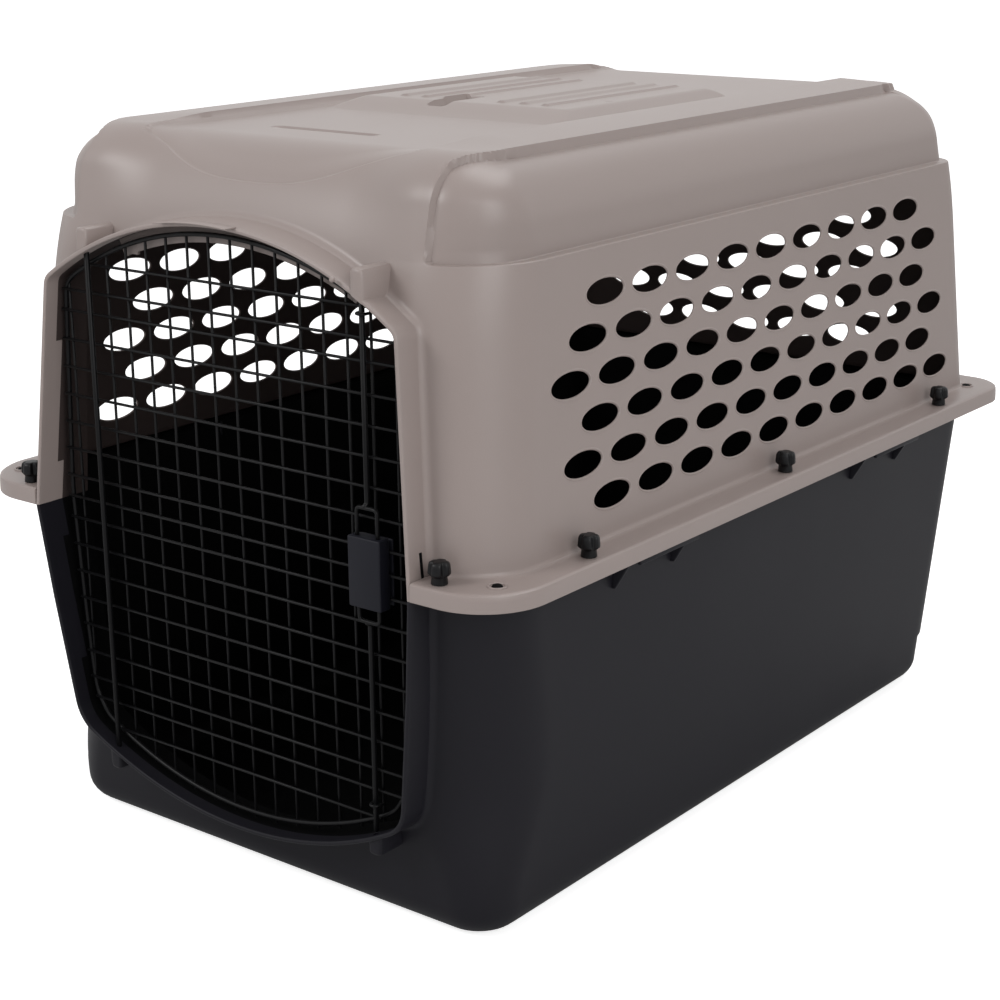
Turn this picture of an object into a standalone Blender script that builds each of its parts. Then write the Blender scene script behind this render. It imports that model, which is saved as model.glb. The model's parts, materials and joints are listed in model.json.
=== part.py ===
"""Pet transport carrier: two moulded shells bolted at a flange, with a wire grid door.

Frame: metres, +Z up. The origin is the centre of the footprint on the floor, the door
faces -Y and +X is the right-hand side seen from the door.
All dimensions below are in millimetres; meshes are scaled by MM when they are made.
HX, HY mean half widths along X and Y, R a radius, T a thickness, CZ the height of a centre.
"""
import math

import bmesh
import bpy
from mathutils import Matrix, Vector

MM = 0.001
NAME = "pet_transport_carrier"
SIDES = {"left": -1, "right": 1}    # sign of X
ENDS = {"front": -1, "rear": 1}     # sign of Y

# ---------------------------------------------------------------- shells
WALL = 3.5                 # shell wall
GAP = 0.3                  # clearance between separate pieces
CORNER_SEGS = 4            # segments in each corner of a shell loop
# factors on the front and rear corner radii
CORNER_SCALE = {"wall": (1.35, 0.72), "flange": (1.0, 0.70), "top": (1.0, 1.30)}

FLANGE_HX, FLANGE_HY, FLANGE_R = 312.0, 451.0, 60.0
FLANGE_TOP = 332.0         # top of the upper flange
FLANGE_T = 3.0
LIP_Z = 316.5              # lower edge of the turned-down lip, and the colour split
LIP_T = 2.8
LOW_FLANGE_IN = 3.3        # lower flange edge, in from the upper one
LOW_FLANGE_TOP = FLANGE_TOP - FLANGE_T - GAP

WALL_HX, WALL_HY, WALL_R = 281.5, 424.0, 55.0    # upper wall where it meets the flange
MID_HX, MID_HY, MID_Z = 269.2, 412.0, 505.0      # upper wall part way up
LEDGE_HX, LEDGE_HY, LEDGE_Z = 264.0, 401.5, 575.0    # shoulder pockets start here
POCKET_HX, POCKET_HY = 263.8, 401.0              # wall just above the ledge
SHOULDER_HX, SHOULDER_HY = 261.8, 389.5          # wall below the roof curve
LEDGE_IN = 9.0             # depth of the shoulder pockets
POCKET_X = 200.0           # ends of the shoulder pockets on the front and rear faces
PANEL_Z, RAIL_Z, PLATEAU_Z = 652.0, 655.0, 662.0
RAIL_IN, RAIL_OUT = 156.0, 214.0
TOP_HY = 330.0
PANEL_CUT_FRONT, PANEL_CUT_TOP, PANEL_CUT_OVER = -375.0, 690.0, 30.0
PLATEAU_FOOT = (132.0, -135.0, 150.0)            # half width, front Y, rear Y
PLATEAU_HEAD = (114.0, -104.0, 134.0)

LOW_DRAFT = 0.070
LOW_FILLET = 26.0          # rounding between wall and floor
LOW_FILLET_STEPS = 4
LOW_R = 60.0
LOW_MIN_R = 8.0            # least corner radius of the floor

# ---------------------------------------------------------------- door collar
COLLAR_HX, COLLAR_HX_TOP = 224.0, 205.5
ARCH_R, ARCH_CZ = 356.0, 236.0
COLLAR_LOW_HX, COLLAR_LOW_Z = 205.0, 146.0
SILL_R, SILL_CZ = 373.0, 422.0
COLLAR_T = 4.0
COLLAR_FRONT, COLLAR_LEAN = -450.6, 0.060        # front Y at the lip, and lean with height
COLLAR_BACK = -392.0
OPENING_FRONT, OPENING_BACK = -470.0, -372.0
NOTCH_CLEAR = 0.6          # lower flange notch around the collar
NOTCH_BACK = 1.0           # notch depth behind the collar
STOP_X_RIGHT, STOP_X_LEFT = 150.0, -125.0
STOP_SINK, STOP_DEPTH = 1.5, 20.0    # into the collar, and down from its outer arch
STOP_FRONT, STOP_BACK = -416.5, -413.5
STOP_STEPS = 8

# ---------------------------------------------------------------- vents
VENT_PITCH, VENT_ROW = 65.4, 33.85
VENT_A, VENT_B = 26.2, 10.4          # ellipse half axes
VENT_SEGS, VENT_CUT = 8, 40.0        # segments and length of a cutter
VENT_Z0, VENT_Y0 = 537.0, -248.0     # top row, and frontmost vent of it on the right side
VENT_STAGGER = -5.0 / 12.0           # shift of each row below, in pitches, on the right side
VENT_Y_LEFT = 269.75                 # rearmost vent of the left side's top row
VENT_SIDE_COUNTS = (9, 10, 10, 10, 10, 10)       # per row, from the top
VENT_SIDE_X = 272.0
VENT_REAR_COUNTS = (5, 6, 5, 6, 5)
VENT_REAR_Y, VENT_REAR_Z0 = 414.0, 537.5

# ---------------------------------------------------------------- door
DOOR_Y = -423.0
WIRE = 2.6                 # grid wire
FRAME_WIRE = 4.2           # perimeter wire
DOOR_HX, DOOR_HX_TOP, DOOR_WIDE_Z = 205.0, 195.5, 322.0
DOOR_ARCH_R, DOOR_ARCH_CZ = 352.0, 228.0
DOOR_LOW_HX, DOOR_LOW_Z = 189.0, 136.0
DOOR_SILL_R, DOOR_SILL_CZ = 342.0, 407.0
GRID_X0, GRID_PITCH = -166.1, 25.4
# heights of the horizontal wires
GRID_Z = (103.5, 129.0, 148.5, 173.0, 199.0, 224.5, 250.0, 276.0, 301.5, 322.0,
          342.0, 367.5, 393.0, 418.5, 444.0, 469.5, 496.0, 515.0, 540.4)
GRID_X = [GRID_X0 + GRID_PITCH * k for k in range(-1, 15)]
GRID_FAR_X = 260.0         # the outermost cells reach beyond the outline before clipping
GRID_FAR_LOW, GRID_FAR_HIGH = 20.0, 620.0
CELL_MIN_AREA = 28.0       # smaller openings are left solid
CELL_MIN_EDGE = 0.6        # closer points of an opening are merged

# ---------------------------------------------------------------- rods and latch
ROD_Y, ROD_R = -428.6, 2.5
HINGE_X, LATCH_X = -156.8, 162.0
HINGE_Z0, HINGE_Z1 = 79.5, 561.0
HINGE_ORIGIN = (HINGE_X, ROD_Y, 330.0)
LATCH_CX = 164.0           # middle of the latch housing
LATCH_HX, LATCH_Y0, LATCH_Y1 = 17.2, -437.5, -424.6
LATCH_Z0, LATCH_Z1 = 294.0, 354.4
LATCH_MID = (LATCH_Z0 + LATCH_Z1) / 2
COVER_SIDE_T, COVER_FRONT_T, COVER_END_T, COVER_WEB_T = 1.8, 1.5, 2.0, 3.0
COVER_CUT_OVER = 5.0       # pocket cutters run this far out of the open back
BACK_PLATE_T = 2.4
LEG_DX, LEG_Y, LEG_R, LEG_SEGS = 11.0, -431.6, 1.7, 8
LEG_CLEAR, LEG_HOLE_DZ, LEG_HOLE_LENGTH = 0.5, 31.0, 14.0
ROD_UP_END, ROD_LOW_END = 545.2, 93.8
YOKE_UP, YOKE_LOW = 379.0, 281.0
YOKE_HZ, YOKE_BACK = 2.1, 2.4        # half height, and reach behind the rod's axis
BAR_OFF = 13.6             # inner bars above and below the housing's middle, drawn back
BAR_HY, BAR_HZ = 2.0, 1.5
SPRING_R, SPRING_WIRE_R, SPRING_TURNS, SPRING_TURN_STEPS = 3.2, 0.45, 4, 8
SPRING_END = 1.8           # from the housing's middle, and from the inner bar's middle
GUIDE_UP_Z, GUIDE_LOW_Z = 536.0, 118.0
GUIDE_R, GUIDE_BORE_R, GUIDE_BACK, GUIDE_HZ, GUIDE_STEPS = 5.2, 3.1, 3.9, 1.6, 6

# bosses at the rod ends: cutter name, middle X, half width, (Y range), (Z range)
UPPER_BOSSES = (
    ("add_boss_right", LATCH_CX, 7.0, (-436.5, -396.0), (546.0, 574.0)),
    ("add_boss_left", HINGE_X, 6.6, (-434.0, -396.0), (550.0, 574.0)),
)
LOWER_BOSSES = (
    ("add_boss_low_right", LATCH_CX, 7.0, (-433.5, -394.0), (72.0, 92.0)),
    ("add_boss_low_left", HINGE_X, 6.6, (-433.5, -394.0), (67.0, 89.0)),
)
# rod end holes: X, middle Z
UPPER_ROD_HOLES = ((HINGE_X, 551.0), (LATCH_X, 551.0))
LOWER_ROD_HOLES = ((HINGE_X, 88.5), (LATCH_X, 92.0))
ROD_HOLE_R = 3.4

# ---------------------------------------------------------------- flange fittings
BOLT_SIDE_X, BOLT_SIDE_Y = 297.0, {"front": -312.0, "middle": 0.0, "rear": 312.0}
BOLT_END_X, BOLT_END_Y = 243.0, 437.0
BOLTS = {f"{side}_side_{place}": (sx * BOLT_SIDE_X, y)
         for side, sx in SIDES.items() for place, y in BOLT_SIDE_Y.items()}
BOLTS.update({f"{end}_{side}": (sx * BOLT_END_X, sy * BOLT_END_Y)
              for end, sy in ENDS.items() for side, sx in SIDES.items()})
BOLT_HOLE_R, FLANGE_HOLE_Z = 3.7, 325.0
SHANK_R, SHANK_LENGTH, SHANK_Z = 3.0, 27.0, 334.5
HEAD_R, HEAD_LENGTH, HEAD_Z = 6.2, 4.0, 323.0
NUT_R, NUT_LENGTH = 6.0, 7.6
WING_HALF, WING_HT, WING_Z = 9.0, 3.4, (338.5, 350.5)    # half span, half thickness, Z range
BORE_R, BORE_LENGTH, BORE_Z = 3.35, 22.0, 338.0
TIE_X, TIE_Y, TIE_R = 280.0, 424.5, 6.0

GRIP_Y, GRIP_HALF = 206.0, 45.0
GRIP_OUT_X, GRIP_T, GRIP_LOW_Z, GRIP_TOP_Z = 306.5, 3.0, 310.5, 326.5
GUSSET_HT = 1.6
# X, Z outline of a gusset on the right side
GUSSET = ((279.0, GRIP_TOP_Z), (GRIP_OUT_X, GRIP_TOP_Z), (GRIP_OUT_X, 312.0), (276.0, 276.0))

# ---------------------------------------------------------------- scene set-up
for ob in list(bpy.data.objects):
    bpy.data.objects.remove(ob, do_unlink=True)
for block in (bpy.data.meshes, bpy.data.curves, bpy.data.materials, bpy.data.collections):
    for item in list(block):
        block.remove(item)

PARTS = bpy.data.collections.new(NAME)
CUTTERS = bpy.data.collections.new(NAME + "_cutters")
bpy.context.scene.collection.children.link(PARTS)
bpy.context.scene.collection.children.link(CUTTERS)

# ---------------------------------------------------------------- materials
TAUPE_PLASTIC = dict(color=(0.36, 0.31, 0.29), roughness=0.42, metallic=0.0)
DARK_PLASTIC = dict(color=(0.026, 0.026, 0.030), roughness=0.45, metallic=0.0)
SPRING_STEEL = dict(color=(0.55, 0.55, 0.56), roughness=0.3, metallic=1.0)
BLACK_WIRE = dict(color=(0.015, 0.015, 0.016), roughness=0.35, metallic=0.3)
BLACK_FITTING = dict(color=(0.02, 0.02, 0.022), roughness=0.5, metallic=0.0)


def finish_of(name):
    if name == "upper_shell":
        return TAUPE_PLASTIC
    if name == "lower_shell":
        return DARK_PLASTIC
    if "spring" in name:
        return SPRING_STEEL
    if "rod" in name or "grid" in name:
        return BLACK_WIRE
    return BLACK_FITTING


def make_material(name, color, roughness, metallic):
    mat = bpy.data.materials.new(name)
    mat.use_nodes = True
    shader = mat.node_tree.nodes["Principled BSDF"]
    shader.inputs["Base Color"].default_value = (*color, 1.0)
    shader.inputs["Roughness"].default_value = roughness
    shader.inputs["Metallic"].default_value = metallic
    mat.diffuse_color = (*color, 1.0)
    return mat


def apply_material(ob):
    """Give a part its own material, named after it."""
    ob.data.materials.clear()
    ob.data.materials.append(make_material(ob.name, **finish_of(ob.name)))


# ---------------------------------------------------------------- objects
def link(ob, cutter=False):
    (CUTTERS if cutter else PARTS).objects.link(ob)
    if cutter:
        ob.hide_render = True
        ob.display_type = "WIRE"
    return ob


def object_from(name, bm, cutter):
    mesh = bpy.data.meshes.new(name)
    bm.to_mesh(mesh)
    bm.free()
    return link(bpy.data.objects.new(name, mesh), cutter)


def mesh_object(name, bm, cutter=True):
    """Close a bmesh into an object, scaled from millimetres to metres."""
    bmesh.ops.remove_doubles(bm, verts=bm.verts, dist=0.004)
    bmesh.ops.recalc_face_normals(bm, faces=bm.faces)
    bmesh.ops.scale(bm, verts=bm.verts, vec=(MM, MM, MM))
    return object_from(name, bm, cutter)


def boolean(ob, other, operation):
    mod = ob.modifiers.new(operation.lower() + "_" + other.name, "BOOLEAN")
    mod.object = other
    mod.operation = operation
    mod.solver = "EXACT"


def evaluated_mesh(ob):
    bpy.context.view_layer.update()
    graph = bpy.context.evaluated_depsgraph_get()
    return bpy.data.meshes.new_from_object(ob.evaluated_get(graph))


def bake_booleans(base, others, operation):
    """Apply booleans to the base's mesh for good, and remove the other objects."""
    for other in others:
        boolean(base, other, operation)
    mesh = evaluated_mesh(base)
    base.modifiers.clear()
    base.data = mesh
    for other in others:
        bpy.data.objects.remove(other, do_unlink=True)


def union_part(name, pieces):
    """Fuse cutter objects into one part."""
    base = pieces[0]
    bake_booleans(base, pieces[1:], "UNION")
    base.name = name
    base.data.name = name
    CUTTERS.objects.unlink(base)
    link(base)
    base.hide_render = False
    base.display_type = "TEXTURED"
    return base


def joined(name, objects):
    """Put several separate closed cutters in one object."""
    bm = bmesh.new()
    for ob in objects:
        bm.from_mesh(ob.data)
        bpy.data.objects.remove(ob, do_unlink=True)
    return object_from(name, bm, cutter=True)


def curve_part(name, curve, merge, matrix):
    """Turn a curve into a closed mesh part, moved by a matrix."""
    path = link(bpy.data.objects.new(name + "_path", curve))
    bm = bmesh.new()
    bm.from_mesh(evaluated_mesh(path))
    bmesh.ops.transform(bm, verts=bm.verts, matrix=matrix)
    bmesh.ops.remove_doubles(bm, verts=bm.verts, dist=merge)
    bmesh.ops.recalc_face_normals(bm, faces=bm.faces)
    bpy.data.objects.remove(path, do_unlink=True)
    return object_from(name, bm, cutter=False)


def set_origin(ob, origin):
    """Move an object's origin without moving its geometry."""
    offset = Vector(origin) * MM
    ob.data.transform(Matrix.Translation(-offset))
    ob.location = offset


def round_shade(ob, degrees):
    ob.data.shade_smooth()
    ob.data.set_sharp_from_angle(angle=math.radians(degrees))


# ---------------------------------------------------------------- solids
def around(middle, half):
    return middle - half, middle + half


def skin(bm, ring_a, ring_b):
    n = len(ring_a)
    for i in range(n):
        j = (i + 1) % n
        bm.faces.new((ring_a[i], ring_a[j], ring_b[j], ring_b[i]))


def loft(first, last):
    """A solid between two equal loops."""
    bm = bmesh.new()
    ring_a, ring_b = [[bm.verts.new(p) for p in loop] for loop in (first, last)]
    skin(bm, ring_a, ring_b)
    bm.faces.new(list(reversed(ring_a)))
    bm.faces.new(ring_b)
    return bm


def cup(outer, inner):
    """A shell whose wall runs along the outer loops to the closed end, and back along the
    inner loops to the rim. Both skins are capped at the closed end."""
    bm = bmesh.new()
    rings = [[bm.verts.new(p) for p in loop] for loop in outer + inner]
    last_outer = len(outer) - 1
    for k, ring in enumerate(rings):
        if k != last_outer:
            skin(bm, ring, rings[(k + 1) % len(rings)])
    bm.faces.new(rings[last_outer])
    bm.faces.new(rings[last_outer + 1])
    return bm


def prism(name, outline, front, back, lean=0.0):
    """A cutter from an X, Z outline between two Y values. The front face can lean back
    with distance from the lip height."""
    return mesh_object(name, loft(
        [(x, front + lean * abs(z - LIP_Z), z) for x, z in outline],
        [(x, back, z) for x, z in outline]))


def box(name, x_range, y_range, z_range, cutter=True):
    ranges = (x_range, y_range, z_range)
    bm = bmesh.new()
    bmesh.ops.create_cube(bm, size=1.0)
    bmesh.ops.scale(bm, verts=bm.verts, vec=[b - a for a, b in ranges])
    bmesh.ops.translate(bm, verts=bm.verts, vec=[(a + b) / 2 for a, b in ranges])
    return mesh_object(name, bm, cutter)


def cylinder(name, centre, radius, length, segs, cutter=True, turn=0.0):
    """An upright cylinder, optionally turned about its axis."""
    bm = bmesh.new()
    bmesh.ops.create_cone(bm, cap_ends=True, segments=segs, radius1=radius,
                          radius2=radius, depth=length)
    bmesh.ops.rotate(bm, verts=bm.verts, matrix=Matrix.Rotation(turn, 3, "Z"))
    bmesh.ops.translate(bm, verts=bm.verts, vec=centre)
    return mesh_object(name, bm, cutter)


# ---------------------------------------------------------------- outlines
def fillet_chain(points, radii, steps):
    """Round the corners of a closed polygon. radii is one value per corner."""
    out = []
    n = len(points)
    for i, (corner, radius) in enumerate(zip(points, radii)):
        corner = Vector(corner)
        if radius <= 0:
            out.append(corner)
            continue
        before = Vector(points[i - 1]) - corner
        after = Vector(points[(i + 1) % n]) - corner
        reach = radius / math.tan(before.angle(after) / 2)
        reach = min(reach, before.length * 0.48, after.length * 0.48)
        start = corner + before.normalized() * reach
        end = corner + after.normalized() * reach
        for k in range(steps + 1):
            t = k / steps
            out.append(start * (1 - t) ** 2 + corner * 2 * t * (1 - t) + end * t * t)
    return out


def arc_points(radius, cz, x_first, x_last, count, sign=1):
    """Points above (sign 1) or below (sign -1) the centre (0, cz)."""
    out = []
    for k in range(count + 1):
        x = x_first - (x_first - x_last) * k / count
        out.append((x, cz + sign * math.sqrt(radius * radius - x * x)))
    return out


def arched_outline(arch, left_side, sill, arch_fillet, sill_fillet, steps):
    """A symmetric X, Z outline, anticlockwise from the upper right: arch, left side,
    sill and right side, with fillets where the arcs end."""
    radii = [0] * (2 * len(left_side) + len(arch) + len(sill))
    radii[0] = radii[len(arch) - 1] = arch_fillet
    sill_start = len(arch) + len(left_side)
    radii[sill_start] = radii[sill_start + len(sill) - 1] = sill_fillet
    right_side = [(-x, z) for x, z in reversed(left_side)]
    return fillet_chain(arch + left_side + sill + right_side, radii, steps)


def collar_outline(inset):
    hx, low_hx = COLLAR_HX - inset, COLLAR_LOW_HX - inset
    arch_x = COLLAR_HX_TOP - inset - 0.5
    sill_x = low_hx - 12.0
    arch = arc_points(ARCH_R - inset, ARCH_CZ, arch_x, -arch_x, 10)
    sill = arc_points(SILL_R - inset, SILL_CZ, sill_x, -sill_x, 10, sign=-1)[::-1]
    left_side = [(-hx, FLANGE_TOP), (-hx, LIP_Z), (-low_hx, COLLAR_LOW_Z)]
    return arched_outline(arch, left_side, sill, arch_fillet=16.0, sill_fillet=22.0, steps=3)


def door_outline(inset):
    low_hx = DOOR_LOW_HX - inset
    arch_x = DOOR_HX_TOP - inset - 1.0
    sill_x = low_hx - 5.0
    arch = arc_points(DOOR_ARCH_R - inset, DOOR_ARCH_CZ, arch_x, -arch_x, 8)
    sill = arc_points(DOOR_SILL_R - inset, DOOR_SILL_CZ, sill_x, -sill_x, 8, sign=-1)[::-1]
    left_side = [(-(DOOR_HX - inset), DOOR_WIDE_Z), (-low_hx, DOOR_LOW_Z)]
    return arched_outline(arch, left_side, sill, arch_fillet=14.0, sill_fillet=16.0, steps=2)


def clip_z(points, z_cut, keep_above):
    """Clip an X, Z polygon at a height."""
    out = []
    n = len(points)
    for i in range(n):
        a, b = points[i], points[(i + 1) % n]
        keep_a = (a[1] >= z_cut) == keep_above or abs(a[1] - z_cut) < 1e-6
        keep_b = (b[1] >= z_cut) == keep_above or abs(b[1] - z_cut) < 1e-6
        if keep_a:
            out.append(a)
        if keep_a != keep_b and abs(b[1] - a[1]) > 1e-9:
            t = (z_cut - a[1]) / (b[1] - a[1])
            if 1e-6 < t < 1 - 1e-6:
                out.append(a.lerp(b, t))
    return out


def clip_convex(poly, hull):
    """Clip a polygon by a convex outline, both anticlockwise in X, Z."""
    out = [Vector(p) for p in poly]
    for i, a in enumerate(hull):
        edge = hull[(i + 1) % len(hull)] - a
        src, out = out, []
        for k, p in enumerate(src):
            q = src[(k + 1) % len(src)]
            side_p = edge.x * (p.y - a.y) - edge.y * (p.x - a.x)
            side_q = edge.x * (q.y - a.y) - edge.y * (q.x - a.x)
            if side_p >= 0:
                out.append(p)
            if side_p * side_q < 0:
                out.append(p.lerp(q, side_p / (side_p - side_q)))
    clean = []
    for p in out:
        if not clean or (p - clean[-1]).length > CELL_MIN_EDGE:
            clean.append(p)
    if len(clean) > 2 and (clean[0] - clean[-1]).length < CELL_MIN_EDGE:
        clean.pop()
    return clean


def area(poly):
    n = len(poly)
    return 0.5 * sum(poly[i].x * poly[(i + 1) % n].y - poly[(i + 1) % n].x * poly[i].y
                     for i in range(n))


# ---------------------------------------------------------------- shell loops
def rounded_loop(hx, hy, radius, z, split=None, pocket=0.0, kind="wall"):
    """A rounded rectangle, anticlockwise from above. split adds points at x = +-split on
    the front and rear edges, and pocket pulls in the parts beyond them."""
    side_x = hx - pocket
    end_y = hy - pocket * 0.5
    front_scale, rear_scale = CORNER_SCALE[kind]
    points = []
    for sx, sy, start in ((1, 1, 0), (-1, 1, 90), (-1, -1, 180), (1, -1, 270)):
        ry = radius * (front_scale if sy < 0 else rear_scale)
        rx = min(ry, side_x - split - 1.0) if split else ry
        for k in range(CORNER_SEGS + 1):
            a = math.radians(start + 90.0 * k / CORNER_SEGS)
            points.append((sx * (side_x - rx) + rx * math.cos(a),
                           sy * (end_y - ry) + ry * math.sin(a), z))
        if split and sx == sy:      # the rear edge follows here, or the front one
            points += [(sx * split, sy * hy, z), (-sx * split, sy * hy, z)]
    return points


def flange_loop(inset, z, radius_in=3.0, split=None):
    return rounded_loop(FLANGE_HX - inset, FLANGE_HY - inset, FLANGE_R - radius_in, z,
                        split=split, kind="flange")


def upper_loops():
    """Outer loops from the lip up to the roof, inner loops from the roof down to the lip."""
    split = POCKET_X
    full = dict(split=split, pocket=LEDGE_IN)
    fading = LEDGE_IN - 2           # the pockets get shallower towards the roof
    outer = [
        flange_loop(0.0, LIP_Z, 0.0, split),
        flange_loop(0.5, FLANGE_TOP - 2.5, 0.0, split),
        flange_loop(3.0, FLANGE_TOP, 2.0, split),
        rounded_loop(WALL_HX, WALL_HY, WALL_R, FLANGE_TOP, split),
        rounded_loop(MID_HX, MID_HY, 53, MID_Z, split),
        rounded_loop(LEDGE_HX, LEDGE_HY, 52, LEDGE_Z - 2, split),
        rounded_loop(POCKET_HX, POCKET_HY, 51, LEDGE_Z + 1, **full),
        rounded_loop(SHOULDER_HX, SHOULDER_HY, 50, 612.0, **full),
        rounded_loop(252.0, 373.0, 46, 634.0, **full),
        rounded_loop(236.5, 352.0, 36, 648.0, split - 4, fading),
        rounded_loop(RAIL_OUT, TOP_HY, 26, RAIL_Z, split - 30, kind="top"),
    ]
    inner = [
        rounded_loop(RAIL_OUT - 1, TOP_HY - 1, 25, PANEL_Z - WALL, split - 32, kind="top"),
        rounded_loop(232.5, 348.5, 34, 644.5, split - 5, fading),
        rounded_loop(248.3, 369.5, 44, 631.0, **full),
        rounded_loop(SHOULDER_HX - WALL, SHOULDER_HY - WALL, 48, 610.0, **full),
        rounded_loop(POCKET_HX - WALL, POCKET_HY - WALL, 50, LEDGE_Z - 3.5, **full),
        rounded_loop(LEDGE_HX - WALL, LEDGE_HY - WALL, 50, LEDGE_Z - 6.5, split),
        rounded_loop(MID_HX - WALL, MID_HY - WALL, 51, MID_Z, split),
        rounded_loop(WALL_HX - WALL, WALL_HY - WALL, WALL_R - WALL, FLANGE_TOP - FLANGE_T,
                     split),
        flange_loop(LIP_T, FLANGE_TOP - FLANGE_T, split=split),
        flange_loop(LIP_T, LIP_Z, split=split),
    ]
    return outer, inner


def floor_fillet_loops(hx, hy, radius, fillet, floor_z):
    """Loops that round the wall into the floor, from the top down."""
    out = []
    for k in range(LOW_FILLET_STEPS + 1):
        a = math.radians(90.0 * k / LOW_FILLET_STEPS)
        inset = fillet * (1 - math.cos(a))
        out.append(rounded_loop(hx - inset, hy - inset, max(radius - inset, LOW_MIN_R),
                                floor_z + fillet * (1 - math.sin(a))))
    return out


def lower_loops():
    """Outer loops from the flange down to the floor, inner loops back up to the rim."""
    under_flange = LOW_FLANGE_TOP - FLANGE_T
    rim_hx, rim_hy = WALL_HX - GAP, WALL_HY - GAP
    draft = LOW_DRAFT * (under_flange - LOW_FILLET)
    hx, hy = rim_hx - draft, rim_hy - draft
    outer = [
        flange_loop(LOW_FLANGE_IN, LOW_FLANGE_TOP),
        flange_loop(LOW_FLANGE_IN, under_flange),
        rounded_loop(rim_hx, rim_hy, WALL_R, under_flange),
    ] + floor_fillet_loops(hx, hy, LOW_R, LOW_FILLET, 0.0)
    inner = floor_fillet_loops(hx - WALL, hy - WALL, LOW_R - WALL, LOW_FILLET - WALL, WALL)[::-1]
    inner.append(rounded_loop(rim_hx - WALL, rim_hy - WALL, WALL_R - WALL, LOW_FLANGE_TOP))
    return outer, inner


# ---------------------------------------------------------------- shell features
def add_bosses(shell, bosses):
    for name, x, half, y_range, z_range in bosses:
        boolean(shell, box(name, around(x, half), y_range, z_range), "UNION")


def cut_holes(shell, name, flange_length, rod_holes, rod_length):
    """Holes for the bolts, tie-downs and rod ends."""
    holes = [cylinder("hole", (x, y, FLANGE_HOLE_Z), BOLT_HOLE_R, flange_length, segs=8)
             for x, y in BOLTS.values()]
    holes += [cylinder("hole", (sx * TIE_X, sy * TIE_Y, FLANGE_HOLE_Z), TIE_R,
                       flange_length, segs=10)
              for sx in (-1, 1) for sy in (-1, 1)]
    holes += [cylinder("hole", (x, ROD_Y, z), ROD_HOLE_R, rod_length, segs=8)
              for x, z in rod_holes]
    boolean(shell, joined(name, holes), "DIFFERENCE")


def cut_opening(shell, name):
    """Door opening through the collar and the front wall."""
    cutter = prism(name, collar_outline(COLLAR_T), OPENING_FRONT, OPENING_BACK)
    boolean(shell, cutter, "DIFFERENCE")


def plateau_loop(half, front, rear, z):
    return [(-half, front, z), (half, front, z), (half, rear, z), (-half, rear, z)]


def add_stop(shell):
    """Stop rail behind the door, along the arch."""
    high = arc_points(ARCH_R - COLLAR_T + STOP_SINK, ARCH_CZ,
                      STOP_X_RIGHT, STOP_X_LEFT, STOP_STEPS)
    low = arc_points(ARCH_R - STOP_DEPTH, ARCH_CZ, STOP_X_RIGHT, STOP_X_LEFT, STOP_STEPS)
    boolean(shell, prism("add_stop", high + low[::-1], STOP_FRONT, STOP_BACK), "UNION")


def vent_cutter(centre, on_side):
    """An elliptical cutter along X (on_side) or Y, with its long axis level."""
    bm = bmesh.new()
    bmesh.ops.create_cone(bm, cap_ends=True, segments=VENT_SEGS, radius1=1, radius2=1,
                          depth=VENT_CUT)
    bmesh.ops.scale(bm, verts=bm.verts, vec=(VENT_A, VENT_B, 1.0))
    for axis in ("Z", "Y") if on_side else ("X",):
        bmesh.ops.rotate(bm, verts=bm.verts, matrix=Matrix.Rotation(math.pi / 2, 3, axis))
    bmesh.ops.translate(bm, verts=bm.verts, vec=centre)
    return mesh_object("vent", bm)


def cut_vents(shell):
    vents = []
    for row, count in enumerate(VENT_SIDE_COUNTS):
        shift = math.fmod(VENT_STAGGER * row, 1.0)
        z = VENT_Z0 - VENT_ROW * row
        for k in range(count):
            y = VENT_Y0 + VENT_PITCH * (k + shift)
            vents.append(vent_cutter((VENT_SIDE_X, y, z), on_side=True))
            # the left side is the right one turned round
            y_left = VENT_Y_LEFT + VENT_Y0 - y
            vents.append(vent_cutter((-VENT_SIDE_X, y_left, z), on_side=True))
    for row, count in enumerate(VENT_REAR_COUNTS):
        z = VENT_REAR_Z0 - VENT_ROW * row
        for k in range(count):
            x = (k - (count - 1) / 2) * VENT_PITCH
            vents.append(vent_cutter((x, VENT_REAR_Y, z), on_side=False))
    boolean(shell, joined("cut_vents", vents), "DIFFERENCE")


def add_grips(shell):
    """Lift grips under the flange, two a side: each is a bar between two gussets."""
    for side, sx in SIDES.items():
        for end, sy in ENDS.items():
            tag = f"{side}_{end}"
            y_range = around(sy * GRIP_Y, GRIP_HALF)
            for letter, y in zip("ab", y_range):
                faces = [[(sx * x, y_face, z) for x, z in GUSSET]
                         for y_face in around(y, GUSSET_HT)]
                gusset = mesh_object(f"add_gusset_{tag}_{letter}", loft(*faces))
                boolean(shell, gusset, "UNION")
            x_range = around(sx * (GRIP_OUT_X - GRIP_T / 2), GRIP_T / 2)
            bar = box(f"add_grip_{tag}", x_range, y_range, (GRIP_LOW_Z, GRIP_TOP_Z))
            boolean(shell, bar, "UNION")


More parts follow.
